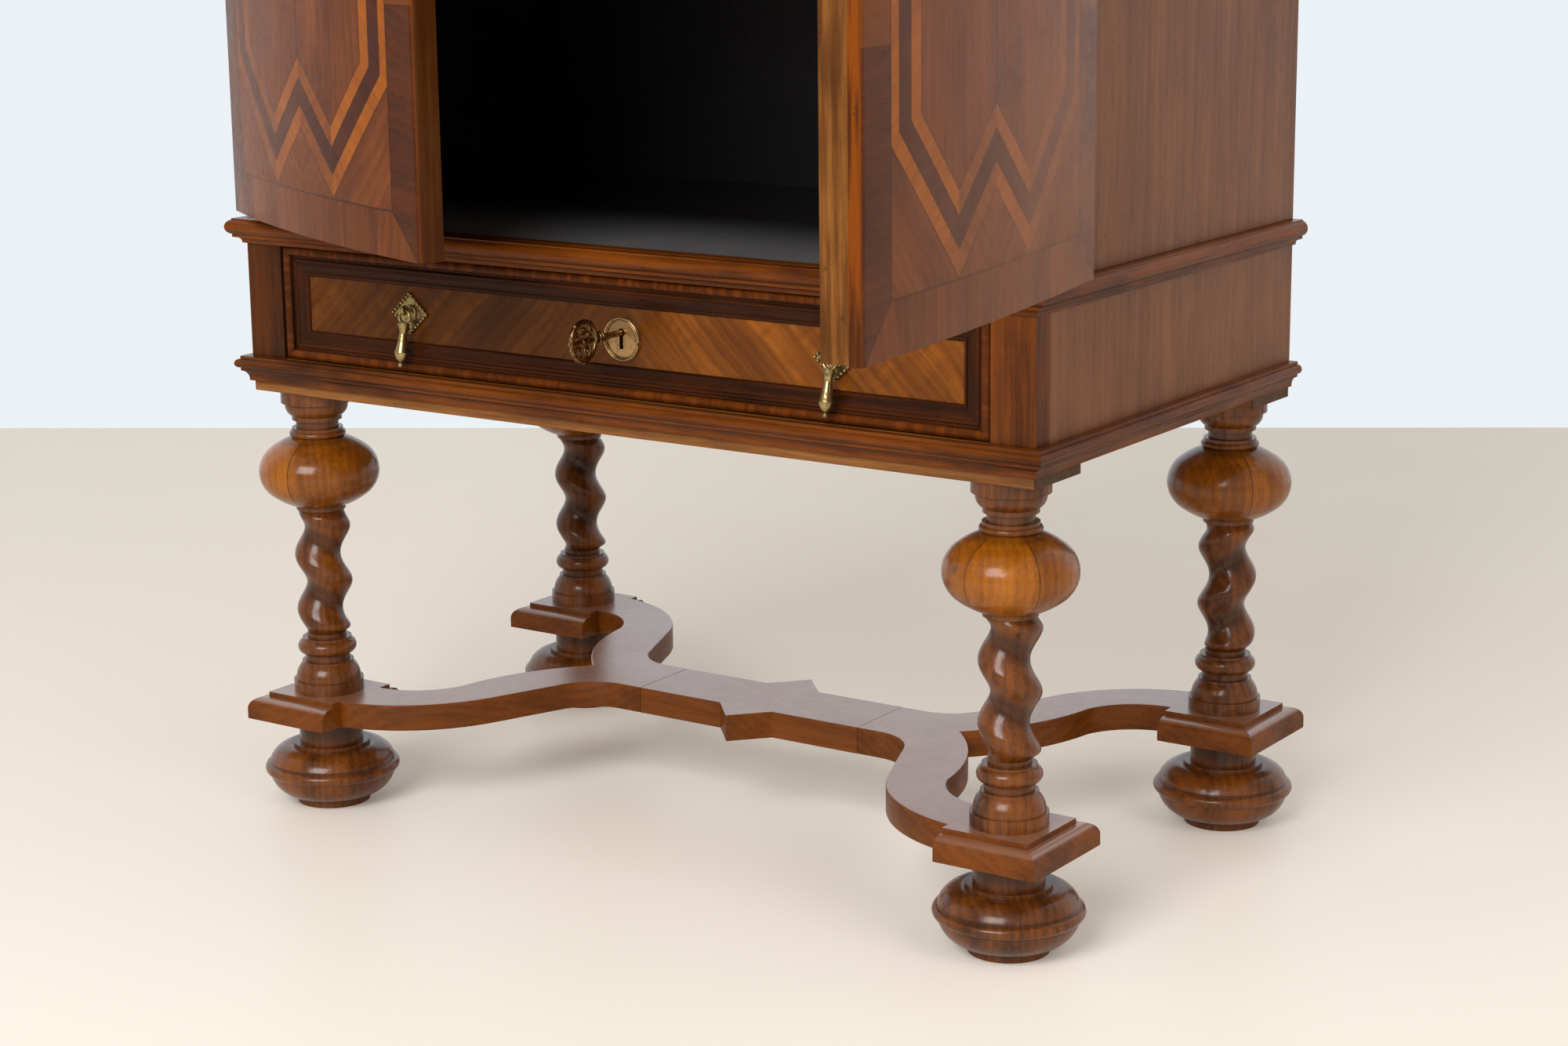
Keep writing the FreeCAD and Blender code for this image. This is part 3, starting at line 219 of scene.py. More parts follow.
class Wire:
    """A value, colour or vector on a sheet of shader nodes, with the usual signs of arithmetic."""

    def __init__(self, sheet, socket):
        self.sheet = sheet
        self.socket = socket

    def __rsub__(self, other):
        return self.sheet.math("SUBTRACT", other, self)

    __add__ = sign("ADD")
    __sub__ = sign("SUBTRACT")
    __mul__ = sign("MULTIPLY")
    __abs__ = sign("ABSOLUTE")
    __gt__ = sign("GREATER_THAN")
    __lt__ = sign("LESS_THAN")


class Sheet:
    """A tree of shader nodes with short ways to add to it."""

    def __init__(self, tree):
        self.tree = tree

    def node(self, kind, **settings):
        node = self.tree.nodes.new(kind)
        for name, value in settings.items():
            setattr(node, name, value)
        return node

    def feed(self, socket, value):
        if isinstance(value, Wire):
            self.tree.links.new(value.socket, socket)
        elif socket.type == "RGBA":
            socket.default_value = (*tuple(value)[:3], 1.0)
        else:
            socket.default_value = value

    def made(self, kind, output, feeds, **settings):
        """One output of a new node whose inputs are fed by name or number."""
        node = self.node(kind, **settings)
        for title, value in feeds.items():
            self.feed(node.inputs[title], value)
        return Wire(self, node.outputs[output])

    def math(self, operation, *values):
        return self.made("ShaderNodeMath", 0, dict(enumerate(values)), operation=operation)

    def larger(self, first, *others):
        """The largest of several values."""
        for other in others:
            first = self.math("MAXIMUM", first, other)
        return first

    def smaller(self, first, second):
        return self.math("MINIMUM", first, second)

    def smooth(self, value, low, high):
        """0 below low, 1 above high and soft between; the other way round if low is the larger."""
        start, end = (0.0, 1.0) if low < high else (1.0, 0.0)
        limits = {"From Min": min(low, high), "From Max": max(low, high), "To Min": start, "To Max": end}
        feeds = {"Value": value, **limits}
        return self.made("ShaderNodeMapRange", "Result", feeds, interpolation_type="SMOOTHSTEP")

    def between(self, value, low, high, soft):
        """1 between low and high, with soft edges that lie inside."""
        return self.smooth(value, low, low + soft) * self.smooth(value, high, high - soft)

    def line(self, gap, outer, inner):
        """A thin line where a gap closes: full within inner and gone past outer, to both sides."""
        return self.smooth(abs(gap), outer, inner)

    def spread(self, value, low, high):
        """A value of 0 to 1 spread from low to high."""
        return self.made("ShaderNodeMapRange", "Result", {"Value": value, "To Min": low, "To Max": high})

    def mix(self, share, first, second, blend="MIX"):
        """Between two colours."""
        feeds = {0: share, 6: first, 7: second}
        return self.made("ShaderNodeMix", 2, feeds, data_type="RGBA", blend_type=blend)

    def blend(self, share, first, second):
        """Between two values."""
        return self.made("ShaderNodeMix", 0, {0: share, 2: first, 3: second}, data_type="FLOAT")

    def noise(self, vector, scale, detail=2.0, roughness=0.5):
        feeds = {"Vector": vector, "Scale": scale, "Detail": detail, "Roughness": roughness}
        return self.made("ShaderNodeTexNoise", 0, feeds)

    def patches(self, vector, scale, detail, low, high):
        """Patches with soft edges."""
        return self.smooth(self.noise(vector, scale, detail), low, high)

    def cells(self, vector, scale):
        """Distance to the nearest of many scattered points."""
        return self.made("ShaderNodeTexVoronoi", "Distance", {"Vector": vector, "Scale": scale})

    def parts(self, vector):
        node = self.node("ShaderNodeSeparateXYZ")
        self.feed(node.inputs[0], vector)
        return tuple(Wire(self, socket) for socket in node.outputs)

    def vector(self, x, y, z):
        return self.made("ShaderNodeCombineXYZ", 0, {0: x, 1: y, 2: z})

    def dot(self, vector, direction):
        return self.made("ShaderNodeVectorMath", "Value", {0: vector, 1: direction}, operation="DOT_PRODUCT")

    def use(self, effect, **values):
        """A shared effect on this sheet; gives its outputs by name."""
        node = self.node("ShaderNodeGroup")
        node.node_tree = bpy.data.node_groups[effect]
        for name, value in values.items():
            self.feed(node.inputs[name], value)
        return {socket.name: Wire(self, socket) for socket in node.outputs}


class Effect(Sheet):
    """A shared effect: a node group with named inputs and outputs."""

    def __init__(self, name, inputs, outputs):
        tree = bpy.data.node_groups.new(name, "ShaderNodeTree")
        for way, sockets in (("INPUT", inputs), ("OUTPUT", outputs)):
            for title, kind in sockets.items():
                tree.interface.new_socket(title, in_out=way, socket_type="NodeSocket" + kind)
        super().__init__(tree)
        self.inlet = self.node("NodeGroupInput")
        self.outlet = self.node("NodeGroupOutput")

    def take(self, title):
        return Wire(self, self.inlet.outputs[title])

    def give(self, title, wire):
        self.feed(self.outlet.inputs[title], wire)


class Paint(Sheet):
    """A material with its surface shader; plain settings go straight to the shader."""

    def __init__(self, name, coat=0.0, coat_roughness=0.2, specular=0.3, metallic=0.0):
        self.material = bpy.data.materials.new(name)
        self.material.use_nodes = True
        super().__init__(self.material.node_tree)
        self.tree.nodes.clear()
        self.shader = self.node("ShaderNodeBsdfPrincipled")
        output = self.node("ShaderNodeOutputMaterial")
        self.tree.links.new(self.shader.outputs[0], output.inputs["Surface"])
        self.set("Coat Weight", coat)
        self.set("Coat Roughness", coat_roughness)
        self.set("Specular IOR Level", specular)
        self.set("Metallic", metallic)
        coordinates = self.node("ShaderNodeTexCoord")
        self.where = Wire(self, coordinates.outputs["Object"])
        self.facing = Wire(self, coordinates.outputs["Normal"])

    def set(self, title, value):
        self.feed(self.shader.inputs[title], value)

    def grain(self, vector, light, dark, figure):
        """Wood whose grain runs along the third part of a vector."""
        return self.use("wood_grain", Vector=vector, Light=light, Dark=dark, Figure=figure)

    def clouds(self):
        """Mask of the hazy patches in the polish."""
        return self.use("hand_polish", Vector=self.where, Low=0.0, High=1.0)["Haze"]

    def relief(self, height, strength, distance):
        feeds = {"Strength": strength, "Distance": distance, "Height": height}
        self.set("Normal", self.made("ShaderNodeBump", 0, feeds))


# shared effects

def make_wood_grain():
    """Wood with its grain along Z: broad bands, fine streaks, growth lines and pores."""
    effect = Effect("wood_grain", {"Vector": "Vector", "Light": "Color", "Dark": "Color", "Figure": "Float"},
                    {"Color": "Color", "Height": "Float"})
    x, y, z = effect.parts(effect.take("Vector"))
    slow = effect.vector(x * 7.0, y * 7.0, z * 2.2)
    wander = (effect.noise(slow, 1.0, 2.0) - 0.5) * effect.take("Figure")
    across = x + wander * 0.05
    depth = y + wander * 0.035
    broad = effect.noise(effect.vector(across, depth, z * 0.09), 46.0, 3.0, 0.55)
    fine = effect.noise(effect.vector(across, depth, z * 0.035), 620.0, 3.0, 0.6)
    lines = effect.math("SINE", (across + depth + broad * 0.02) * 640.0) * 0.5 + 0.5
    mottle = effect.noise(effect.vector(x, y, z * 0.5), 26.0, 4.0, 0.6)
    pores = effect.patches(effect.vector(x, y, z * 0.05), 2100.0, 1.0, 0.6, 0.72)
    shade = broad * 0.42 + fine * 0.26 + mottle * 0.3 + lines * 0.05
    share = effect.smooth(shade, 0.34, 0.7)
    colour_here = effect.mix(share, effect.take("Dark"), effect.take("Light"))
    effect.give("Color", effect.mix(pores * 0.3, colour_here, effect.take("Dark"), "MULTIPLY"))
    effect.give("Height", fine * 0.5 - pores * 0.4)


def make_hand_polish():
    """Uneven gloss of old polish between two values of roughness, and a mask of hazy patches."""
    effect = Effect("hand_polish", {"Vector": "Vector", "Low": "Float", "High": "Float"},
                    {"Roughness": "Float", "Haze": "Float"})
    where = effect.take("Vector")
    patches = effect.noise(where, 9.0, 4.0, 0.6)
    rubs = effect.noise(where, 120.0, 3.0, 0.6)
    share = effect.smooth(patches * 0.65 + rubs * 0.35, 0.35, 0.68)
    effect.give("Roughness", effect.blend(share, effect.take("Low"), effect.take("High")))
    effect.give("Haze", effect.smooth(patches, 0.42, 0.7))


def make_age_marks():
    """Dents and worm holes scattered over old wood."""
    effect = Effect("age_marks", {"Vector": "Vector", "Amount": "Float"},
                    {"Mark": "Float", "Height": "Float"})
    where = effect.take("Vector")
    dents = effect.smooth(effect.cells(where, 34.0), 0.07, 0.03)
    holes = effect.smooth(effect.cells(where, 88.0), 0.075, 0.055)
    some = effect.patches(where, 14.0, 1.0, 0.5, 0.6)
    marks = effect.larger(dents * 0.6, holes * some) * effect.take("Amount")
    effect.give("Mark", marks)
    effect.give("Height", marks * -1.0)


def make_strapwork():
    """Zigzag inlay of a door: masks of its veneers and joints, and the lean of the grain."""
    effect = Effect("strapwork", dict.fromkeys(("Across", "Up", "Width", "Height"), "Float"),
                    dict.fromkeys(("Border", "String", "Band", "Field", "Joint", "Side", "Lean"), "Float"))
    across = effect.take("Across")
    up = effect.smaller(effect.take("Up"), effect.take("Height") - effect.take("Up"))
    off = abs(across - INLAY_MIDDLE)
    falling = (ZIGZAG_HALF - off) * 0.84
    rising = (off - ZIGZAG_HALF) * 0.95
    rise = up - effect.larger(falling, rising)
    depths = [effect.smaller(rise - low, reach - off) for low, reach in INLAY_EDGES]
    inside = [depth > 0.0 for depth in depths]
    joints_inside = effect.larger(*[effect.line(depth, 0.0011, 0.0004) for depth in depths])
    side_gap = effect.smaller(across - FREE_BORDER, effect.take("Width") - across - BORDER)
    end_gap = up - BORDER
    frame_gap = effect.smaller(side_gap, end_gap)
    within = frame_gap > 0.0
    border = frame_gap < 0.0
    mitre = effect.line(side_gap - end_gap, 0.0009, 0.0003) * border
    effect.give("Border", border)
    effect.give("Side", side_gap < end_gap)
    effect.give("String", (inside[0] - inside[1] + inside[2] - inside[3]) * within)
    effect.give("Band", (inside[1] - inside[2]) * within)
    effect.give("Field", inside[3] * within)
    effect.give("Joint", effect.larger(joints_inside * within, effect.line(frame_gap, 0.0011, 0.0004), mitre))
    sign = effect.spread(across > INLAY_MIDDLE, -1.0, 1.0)
    effect.give("Lean", sign * effect.spread(off > ZIGZAG_HALF, -1.0, 1.0))


def make_tarnish():
    """Old metal: dark tarnish in patches and specks, which also give its relief."""
    effect = Effect("tarnish", {"Vector": "Vector", "Bright": "Color", "Dark": "Color"},
                    {"Color": "Color", "Roughness": "Float", "Height": "Float"})
    where = effect.take("Vector")
    patches = effect.noise(where, 190.0, 4.0, 0.65)
    specks = effect.patches(where, 900.0, 2.0, 0.6, 0.72)
    dull = effect.smooth(patches, 0.42, 0.72)
    share = effect.larger(dull * 0.7, specks * 0.6)
    effect.give("Color", effect.mix(share, effect.take("Bright"), effect.take("Dark")))
    effect.give("Roughness", effect.blend(share, 0.26, 0.6))
    effect.give("Height", patches * 0.5 - specks * 0.3)


# finishes

def finish_wood(paint, wood, base, grain, low, high, marks):
    """Marks, relief and polish between two values of roughness, shared by every wooden material."""
    age = paint.use("age_marks", Vector=paint.where, Amount=marks)
    polish = paint.use("hand_polish", Vector=paint.where, Low=low, High=high)
    paint.set("Base Color", paint.mix(age["Mark"], base, wood.shadow))
    paint.set("Roughness", polish["Roughness"])
    paint.relief(grain["Height"] + age["Height"] * 0.8, strength=0.35, distance=0.0006)
    return paint.material


def grain_along(paint, axis, light, dark, figure):
    """Wood grain that runs along an axis."""
    x, y, z = paint.parts(paint.where)
    turned_to = {"X": (y, z, x), "Y": (z, x, y), "Z": (x, y, z)}[axis]
    return paint.grain(paint.vector(*turned_to), light, dark, figure)


def raw_paint(wood, name, along, marks):
    """Unpolished wood with its grain along one axis."""
    paint = Paint(name, coat_roughness=0.25, specular=0.2)
    grain = grain_along(paint, along, wood.raw_light, wood.raw_dark, figure=0.6)
    return finish_wood(paint, wood, grain["Color"], grain, low=0.5, high=0.75, marks=marks)


def turned_paint(wood):
    """Legs and feet: golden balls with jointed cheeks, and painted shade in the grooves and hollows."""
    paint = Paint("turned_walnut", coat=0.22, coat_roughness=0.14, specular=0.26)
    x, y, z = paint.parts(paint.where)
    across = abs(x) - LEG_ACROSS
    along = abs(y) - LEG_ALONG
    radius = paint.math("SQRT", across * across + along * along)
    turn = paint.math("ARCTAN2", across, along)
    ball = paint.between(z, *BALL_LEVELS, soft=0.001)
    twist = paint.between(z, *TWIST_LEVELS, soft=0.001)
    foot = paint.smooth(z, FOOT_TOP, FOOT_TOP - 0.001)
    cheek = paint.between(turn, *BALL_CHEEK, soft=0.02)
    golden = ball * paint.spread(cheek, 0.55, 1.0)
    light = paint.mix(golden, wood.turned_light, wood.ball_light)
    dark = paint.mix(golden, wood.turned_dark, wood.ball_dark)
    grain = paint.grain(paint.where, light, dark, figure=1.0)
    # painted shade: the twist's grooves, the narrow hollows, the ends of the balls, the foot's neck and its
    # ring groove are darkened where shade falls
    groove = paint.smooth(radius, 0.0185, 0.0145) * twist
    hollow = paint.smooth(radius, 0.024, 0.017) * (1.0 - ball) * (1.0 - twist)
    crown = paint.smooth(radius, 0.034, 0.026) * ball
    neck = paint.smooth(z, 0.046, 0.07) * foot
    ring = paint.line(z - FOOT_RING, 0.0016, 0.0006) * foot
    knots = paint.smooth(paint.cells(paint.where, 26.0), 0.14, 0.05) * ball
    seam = paint.larger(*[paint.line((turn - place) * radius, 0.0007, 0.0002) for place in BALL_SEAMS]) * ball
    # the knots and seams are real marks; the rest is painted shade
    shade_and_marks = paint.larger(groove * 0.6, hollow * 0.35, crown * 0.4, neck * 0.55, ring * 0.6, knots * 0.45,
                         seam * 0.7)
    base = paint.mix(shade_and_marks, grain["Color"], wood.shadow)
    return finish_wood(paint, wood, base, grain, low=0.18, high=0.3, marks=0.6)


def stretcher_paint(wood):
    """Stretcher and plinths: top painted paler as a sheen of reflected light, a faint inlaid star, seams
    between the boards.
    """
    paint = Paint("stretcher_walnut", coat_roughness=0.26, specular=0.1)
    x, y, z = paint.parts(paint.where)
    reach = abs(x)
    depth = abs(y)
    arm = reach > STRETCHER_SEAM
    run = paint.blend(arm, x, (reach + depth) * DIAGONAL)
    side = paint.blend(arm, y, (reach - depth) * DIAGONAL)
    grain = paint.grain(paint.vector(side, z, run), wood.stretcher_light, wood.stretcher_dark, figure=0.7)
    top = paint.smooth(paint.parts(paint.facing)[2], 0.6, 0.9)
    seam = paint.line(reach - STRETCHER_SEAM, 0.0009, 0.0003)
    long_rays = paint.line(reach * 0.42 - depth, 0.0045, 0.003) * (reach < 0.062)
    short_rays = paint.line(reach - depth * 0.3, 0.004, 0.0026) * (depth < 0.05)
    star = paint.larger(long_rays, short_rays) * (reach > 0.006) * top
    inlaid = paint.mix(star * 0.35, grain["Color"], wood.string_light)
    # painted sheen: the tops are made paler as if they mirrored the pale background
    painted_sheen = paint.mix(top * 0.6, inlaid, wood.bloom_and_sheen)
    base = paint.mix(seam * top * 0.8, painted_sheen, wood.shadow)
    paint.set("Coat Weight", paint.spread(top, 0.08, 1.0))
    paint.set("Coat IOR", 2.0)
    return finish_wood(paint, wood, base, grain, low=0.3, high=0.5, marks=0.5)


def drawer_frame_paint(wood):
    """Mitred frame of the drawer: grain along each strip, rubbed bead, painted shade in the hollow."""
    paint = Paint("drawer_frame_walnut", coat=0.08, coat_roughness=0.2, specular=0.07)
    x, y, z = paint.parts(paint.where)
    low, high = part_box("drawer_frame")
    side_gap = high.x - abs(x)
    end_gap = paint.smaller(z - low.z, high.z - z)
    upright = side_gap < end_gap
    run = paint.blend(upright, x, z)
    across = paint.blend(upright, z, x)
    grain = paint.grain(paint.vector(across, y, run), wood.frame_light, wood.frame_dark, figure=0.4)
    mitre = paint.line(side_gap - end_gap, 0.0008, 0.0002)
    # painted shade: darker towards the back of the frame's hollow
    depth = paint.smooth(y, low.y + 0.002, high.y)
    ripple = paint.patches(paint.vector(across * 0.15, y * 0.15, run), 130.0, 2.0, 0.45, 0.65)
    bead = paint.smooth(y, low.y + 0.003, low.y + 0.0005)
    rubbed = paint.mix(bead * paint.spread(ripple, 0.2, 0.6), grain["Color"], wood.edge_light)
    base = paint.mix(paint.larger(mitre * 0.7, depth * 0.4), rubbed, wood.shadow)
    return finish_wood(paint, wood, base, grain, low=0.18, high=0.36, marks=0.6)


def moulding_paint(wood, name, along, left_shadow_amount=0.0):
    """A moulding with painted shade on its underside, rubbed places, and a painted shadow of the left door on
    its left if asked.
    """
    paint = Paint(name, coat=0.1, coat_roughness=0.2, specular=0.1)
    grain = grain_along(paint, along, wood.moulding_light, wood.moulding_dark, figure=0.5)
    rubs = paint.patches(paint.where, 24.0, 3.0, 0.5, 0.72)
    rubbed = paint.mix(rubs * 0.3, grain["Color"], wood.edge_light)
    # painted shade on the faces that look down
    shade_and_marks = paint.smooth(paint.parts(paint.facing)[2], -0.1, -0.8) * 0.5
    # painted shadow of the left door, darker towards the left
    if left_shadow_amount:
        shade_and_marks = paint.larger(shade_and_marks, paint.smooth(paint.parts(paint.where)[0], 0.1, -0.1) * left_shadow_amount)
    base = paint.mix(shade_and_marks, rubbed, wood.shadow)
    return finish_wood(paint, wood, base, grain, low=0.18, high=0.38, marks=0.6)


def case_paint(wood, inner, floor, ceiling):
    """Sides of the case: polished veneer outside, black stain in the cupboard, raw wood elsewhere inside."""
    paint = Paint("walnut_case", coat=0.15, coat_roughness=0.28, specular=0.12)
    x, _, z = paint.parts(paint.where)
    inside = paint.smooth(abs(x), inner + 0.0008, inner + 0.0004)
    lined = paint.between(z, floor - STAIN_EDGE, ceiling + STAIN_EDGE, 2.0 * STAIN_EDGE)
    light = paint.mix(inside, wood.case_light, wood.raw_light)
    dark = paint.mix(inside, wood.case_dark, wood.raw_dark)
    grain = paint.grain(paint.where, light, dark, figure=0.5)
    clouds = paint.clouds()
    hazed = paint.mix(clouds * 0.15, grain["Color"], wood.bloom_and_sheen)
    dusty = paint.mix(clouds * 0.04, wood.lining, wood.bloom_and_sheen)
    base = paint.mix(inside * lined, hazed, dusty)
    return finish_wood(paint, wood, base, grain, low=0.3, high=0.46, marks=0.6)


def lining_paint(wood):
    """Black floor and shelf with a painted sheen of light in front; the floor has a polished lip and is raw
    behind and below.
    """
    paint = Paint("dark_lining", coat=0.5, coat_roughness=0.22)
    x, y, z = paint.parts(paint.where)
    _, ny, nz = paint.parts(paint.facing)
    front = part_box("cupboard_floor")[0].y
    lip_end = front + FLOOR_LIP
    hidden = paint.larger(paint.smooth(ny, 0.5, 0.7), paint.smooth(nz, -0.5, -0.7))
    bare = hidden * (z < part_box("cupboard_shelf")[0].z) * (y > lip_end)
    light = paint.mix(bare, wood.moulding_light, wood.raw_light)
    dark = paint.mix(bare, wood.moulding_dark, wood.raw_dark)
    grain = paint.grain(paint.vector(y, z, x), light, dark, figure=0.4)
    scratches = paint.patches(paint.vector(x * 0.2, y, z), 300.0, 2.0, 0.62, 0.72)
    # painted sheen: the black is made paler towards the front, where light falls in; scratches with a pale
    # bloom go on top
    painted_front_sheen = paint.mix(paint.smooth(y, front + 0.21, front + 0.02), wood.lining, wood.lining_front_sheen)
    painted_sheen = paint.mix(scratches * 0.06, painted_front_sheen, wood.bloom_and_sheen)
    lip = paint.smooth(y, lip_end, lip_end - 0.001)
    rubbed = paint.mix(paint.smooth(z, *FLOOR_ROUND) * 0.4, grain["Color"], wood.edge_light)
    base = paint.mix(paint.larger(lip, bare), painted_sheen, rubbed)
    return finish_wood(paint, wood, base, grain, low=0.28, high=0.46, marks=0.4)


def board_inside_paint(wood, name, along, depth, ceiling):
    """A raw board that is stained black in front of a depth and below a ceiling."""
    paint = Paint(name, specular=0.2)
    _, y, z = paint.parts(paint.where)
    grain = grain_along(paint, along, wood.raw_light, wood.raw_dark, figure=0.6)
    before = paint.smooth(y, depth + STAIN_EDGE, depth - STAIN_EDGE)
    below = paint.smooth(z, ceiling + STAIN_EDGE, ceiling - STAIN_EDGE)
    base = paint.mix(before * below, grain["Color"], wood.lining)
    return finish_wood(paint, wood, base, grain, low=0.5, high=0.75, marks=0.7)


def rail_paint(wood):
    """Leg rails: bare wood with dark end grain."""
    paint = Paint("leg_rail_oak", coat=0.1, coat_roughness=0.3, specular=0.2)
    grain = grain_along(paint, "X", wood.raw_light, wood.raw_dark, figure=0.5)
    ends = paint.smooth(abs(paint.parts(paint.where)[0]), RAIL_END, RAIL_END + 0.001)
    base = paint.mix(ends * 0.7, grain["Color"], wood.shadow)
    return finish_wood(paint, wood, base, grain, low=0.42, high=0.68, marks=0.9)


def drawer_panel_paint(wood):
    """Drawer panel: veneer in a chevron with rippled figure, and a painted shadow of the left door left of the
    keyhole.
    """
    paint = Paint("drawer_veneer", coat=0.08, coat_roughness=0.22, specular=0.1)
    x, y, z = paint.parts(paint.where)
    ripple = paint.noise(paint.where, 22.0, 2.0) * 0.008
    along = (z - abs(x)) * DIAGONAL
    across = (z + abs(x)) * DIAGONAL + ripple
    grain = paint.grain(paint.vector(across, y, along * 0.6), wood.drawer_light, wood.drawer_dark, figure=0.6)
    bands = paint.patches(paint.vector(across, y, along * 0.12), 60.0, 2.0, 0.4, 0.64)
    flame = paint.patches(paint.vector(across * 0.3, y, along), 95.0, 3.0, 0.42, 0.66)
    barred = paint.mix(paint.larger(bands * 0.3, flame * 0.35), grain["Color"], wood.frame_light)
    middle = paint.line(x, 0.0008, 0.0002)
    # painted shadow of the left door over the left of the panel
    left_door_shadow = paint.smooth(x, 0.07, 0.0) * paint.spread(paint.smooth(x, -0.3, -0.22), 0.45, 0.57)
    base = paint.mix(paint.larger(middle * 0.7, left_door_shadow), barred, wood.shadow)
    return finish_wood(paint, wood, base, grain, low=0.2, high=0.4, marks=0.6)


def door_paint(wood, node, side, width, nose, bloom_and_sheen, bloom_and_sheen_reach, edge_dark):
    """A veneered door: zigzag strapwork outside, raw inner face, worn edges."""
    joint = joints[node + "_hinge"]
    hinge = Vector(joint["pos_m"])
    angle = math.radians(-joint["range_deg"][0] * side)
    paint = Paint(node + "_veneer", coat=0.07, coat_roughness=0.28, specular=0.06)
    feeds = {"Vector": paint.where, "Location": (hinge.x, hinge.y, 0.0), "Rotation": (0.0, 0.0, angle)}
    x, y, z = paint.parts(paint.made("ShaderNodeMapping", 0, feeds, vector_type="TEXTURE"))
    turn = Matrix.Rotation(angle, 3, "Z")
    outward = paint.dot(paint.facing, turn @ Vector((0.0, -1.0, 0.0)))
    freeward = paint.dot(paint.facing, turn @ Vector((-side, 0.0, 0.0)))
    low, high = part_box(node)
    reach = x * -side
    across = width - reach
    off = abs(across - INLAY_MIDDLE)
    strap = paint.use("strapwork", Across=across, Up=z - low.z, Width=width - HINGE_GAP,
                      Height=high.z - low.z)

    # the way the grain runs in each piece of veneer
    lean = strap["Lean"] * 0.72
    inlay = paint.larger(strap["String"], strap["Band"])
    plain = 1.0 - paint.larger(inlay, strap["Field"], strap["Border"])
    slant_run = paint.blend(inlay, z, reach * 0.76 + z * lean * 0.65)
    slant_side = paint.blend(inlay, reach, z * 0.76 - reach * lean * 0.65)
    corner_run = paint.blend(plain, slant_run, (z + off) * DIAGONAL)
    corner_side = paint.blend(plain, slant_side, (z - off) * DIAGONAL)
    crosswise = strap["Border"] * strap["Side"]
    run = paint.blend(crosswise, corner_run, reach)
    wide = paint.blend(crosswise, corner_side, z)

    # colours of the veneers
    glow = strap["String"] * paint.spread(strap["Lean"] < 0.0, 0.4, 1.0)
    inner_light = paint.mix(glow, paint.mix(crosswise, wood.door_light, wood.border_light), wood.string_light)
    light = paint.mix(strap["Band"], inner_light, wood.band_light)
    inner_dark = paint.mix(glow, paint.mix(crosswise, wood.door_dark, wood.border_dark), wood.string_dark)
    dark = paint.mix(strap["Band"], inner_dark, wood.band_dark)
    grain = paint.grain(paint.vector(wide, y, run), light, dark, figure=0.8)
    step = paint.math("SNAP", paint.blend(crosswise, reach, z), BORDER_BLOCK)
    blocks = paint.noise(paint.vector(step, 0.0, 0.0), 40.0)
    dull = paint.mix(strap["Border"] * paint.smooth(blocks, 0.48, 0.6) * 0.35, grain["Color"], wood.band_dark)
    toned = paint.mix(strap["Border"] * paint.smooth(blocks, 0.46, 0.38) * 0.3, dull, wood.string_light)

    # seams, smudges, and bloom with a painted pale sheen towards the hinge
    smudge = paint.smooth(paint.noise(paint.where, 12.0, 4.0, 0.6), 0.55, 0.75) * strap["Field"]
    book = paint.smooth(off, 0.0009, 0.0003) * strap["Field"]
    stained = paint.mix(paint.larger(strap["Joint"] * 0.6, book * 0.6, smudge * 0.4), toned, wood.shadow)
    # pale bloom of old polish in cloudy patches, which also stands for a painted sheen of reflected light,
    # fading away from the hinge side
    bloom_and_painted_sheen = paint.spread(paint.clouds(), 0.5, 1.0) * paint.smooth(reach, bloom_and_sheen_reach, 0.02) * bloom_and_sheen
    hazed = paint.mix(bloom_and_painted_sheen, stained, wood.bloom_and_sheen)

    # inner face and free edge
    raw = paint.grain(paint.vector(reach, y, z), wood.raw_light, wood.raw_dark, figure=0.6)
    streaks = paint.patches(paint.vector(reach, y, z * 0.06), 210.0, 3.0, 0.4, 0.66)
    polished = paint.mix(streaks * 0.9, wood.edge_light, wood.moulding_dark)
    bare = paint.mix(edge_dark, raw["Color"], wood.moulding_dark)
    streaked = paint.mix(streaks * 0.65, bare, wood.moulding_dark)
    edge = paint.mix(paint.smooth(y, nose, nose - 0.001), streaked, polished)
    inner_face = paint.mix(0.5, raw["Color"], wood.lining)
    faced = paint.mix(paint.smooth(outward, 0.3, 0.6), inner_face, hazed)
    base = paint.mix(paint.smooth(freeward, 0.6, 0.9), faced, edge)
    return finish_wood(paint, wood, base, grain, low=0.26, high=0.46, marks=0.6)


def metal_paint(name, bright, dark):
    """Aged metal."""
    paint = Paint(name, metallic=1.0, specular=0.5)
    old = paint.use("tarnish", Vector=paint.where, Bright=bright, Dark=dark)
    paint.set("Base Color", old["Color"])
    paint.set("Roughness", old["Roughness"])
    paint.relief(old["Height"], strength=0.3, distance=0.0002)
    return paint.material


def dress(names, material):
    """Gives CAD nodes a material."""
    for name in names:
        nodes[name].data.materials.clear()
        nodes[name].data.materials.append(material)


def soften(names, width):
    """Worn edges on board-like nodes."""
    for name in names:
        weld = nodes[name].modifiers.new("weld", "WELD")
        weld.merge_threshold = WELD_REACH
        bevel = nodes[name].modifiers.new("worn_edges", "BEVEL")
        bevel.width = width
        bevel.segments = 2
        bevel.limit_method = "ANGLE"
        bevel.angle_limit = math.radians(50.0)


def add_object(name, data):
    """A new object in the scene."""
    item = bpy.data.objects.new(name, data)
    bpy.context.scene.collection.objects.link(item)
    return item


def add_mesh(name, shape, material):
    """A new object from a built shape."""
    mesh = bpy.data.meshes.new(name)
    shape.to_mesh(mesh)
    shape.free()
    mesh.materials.append(material)
    return add_object(name, mesh)


# small details in metal

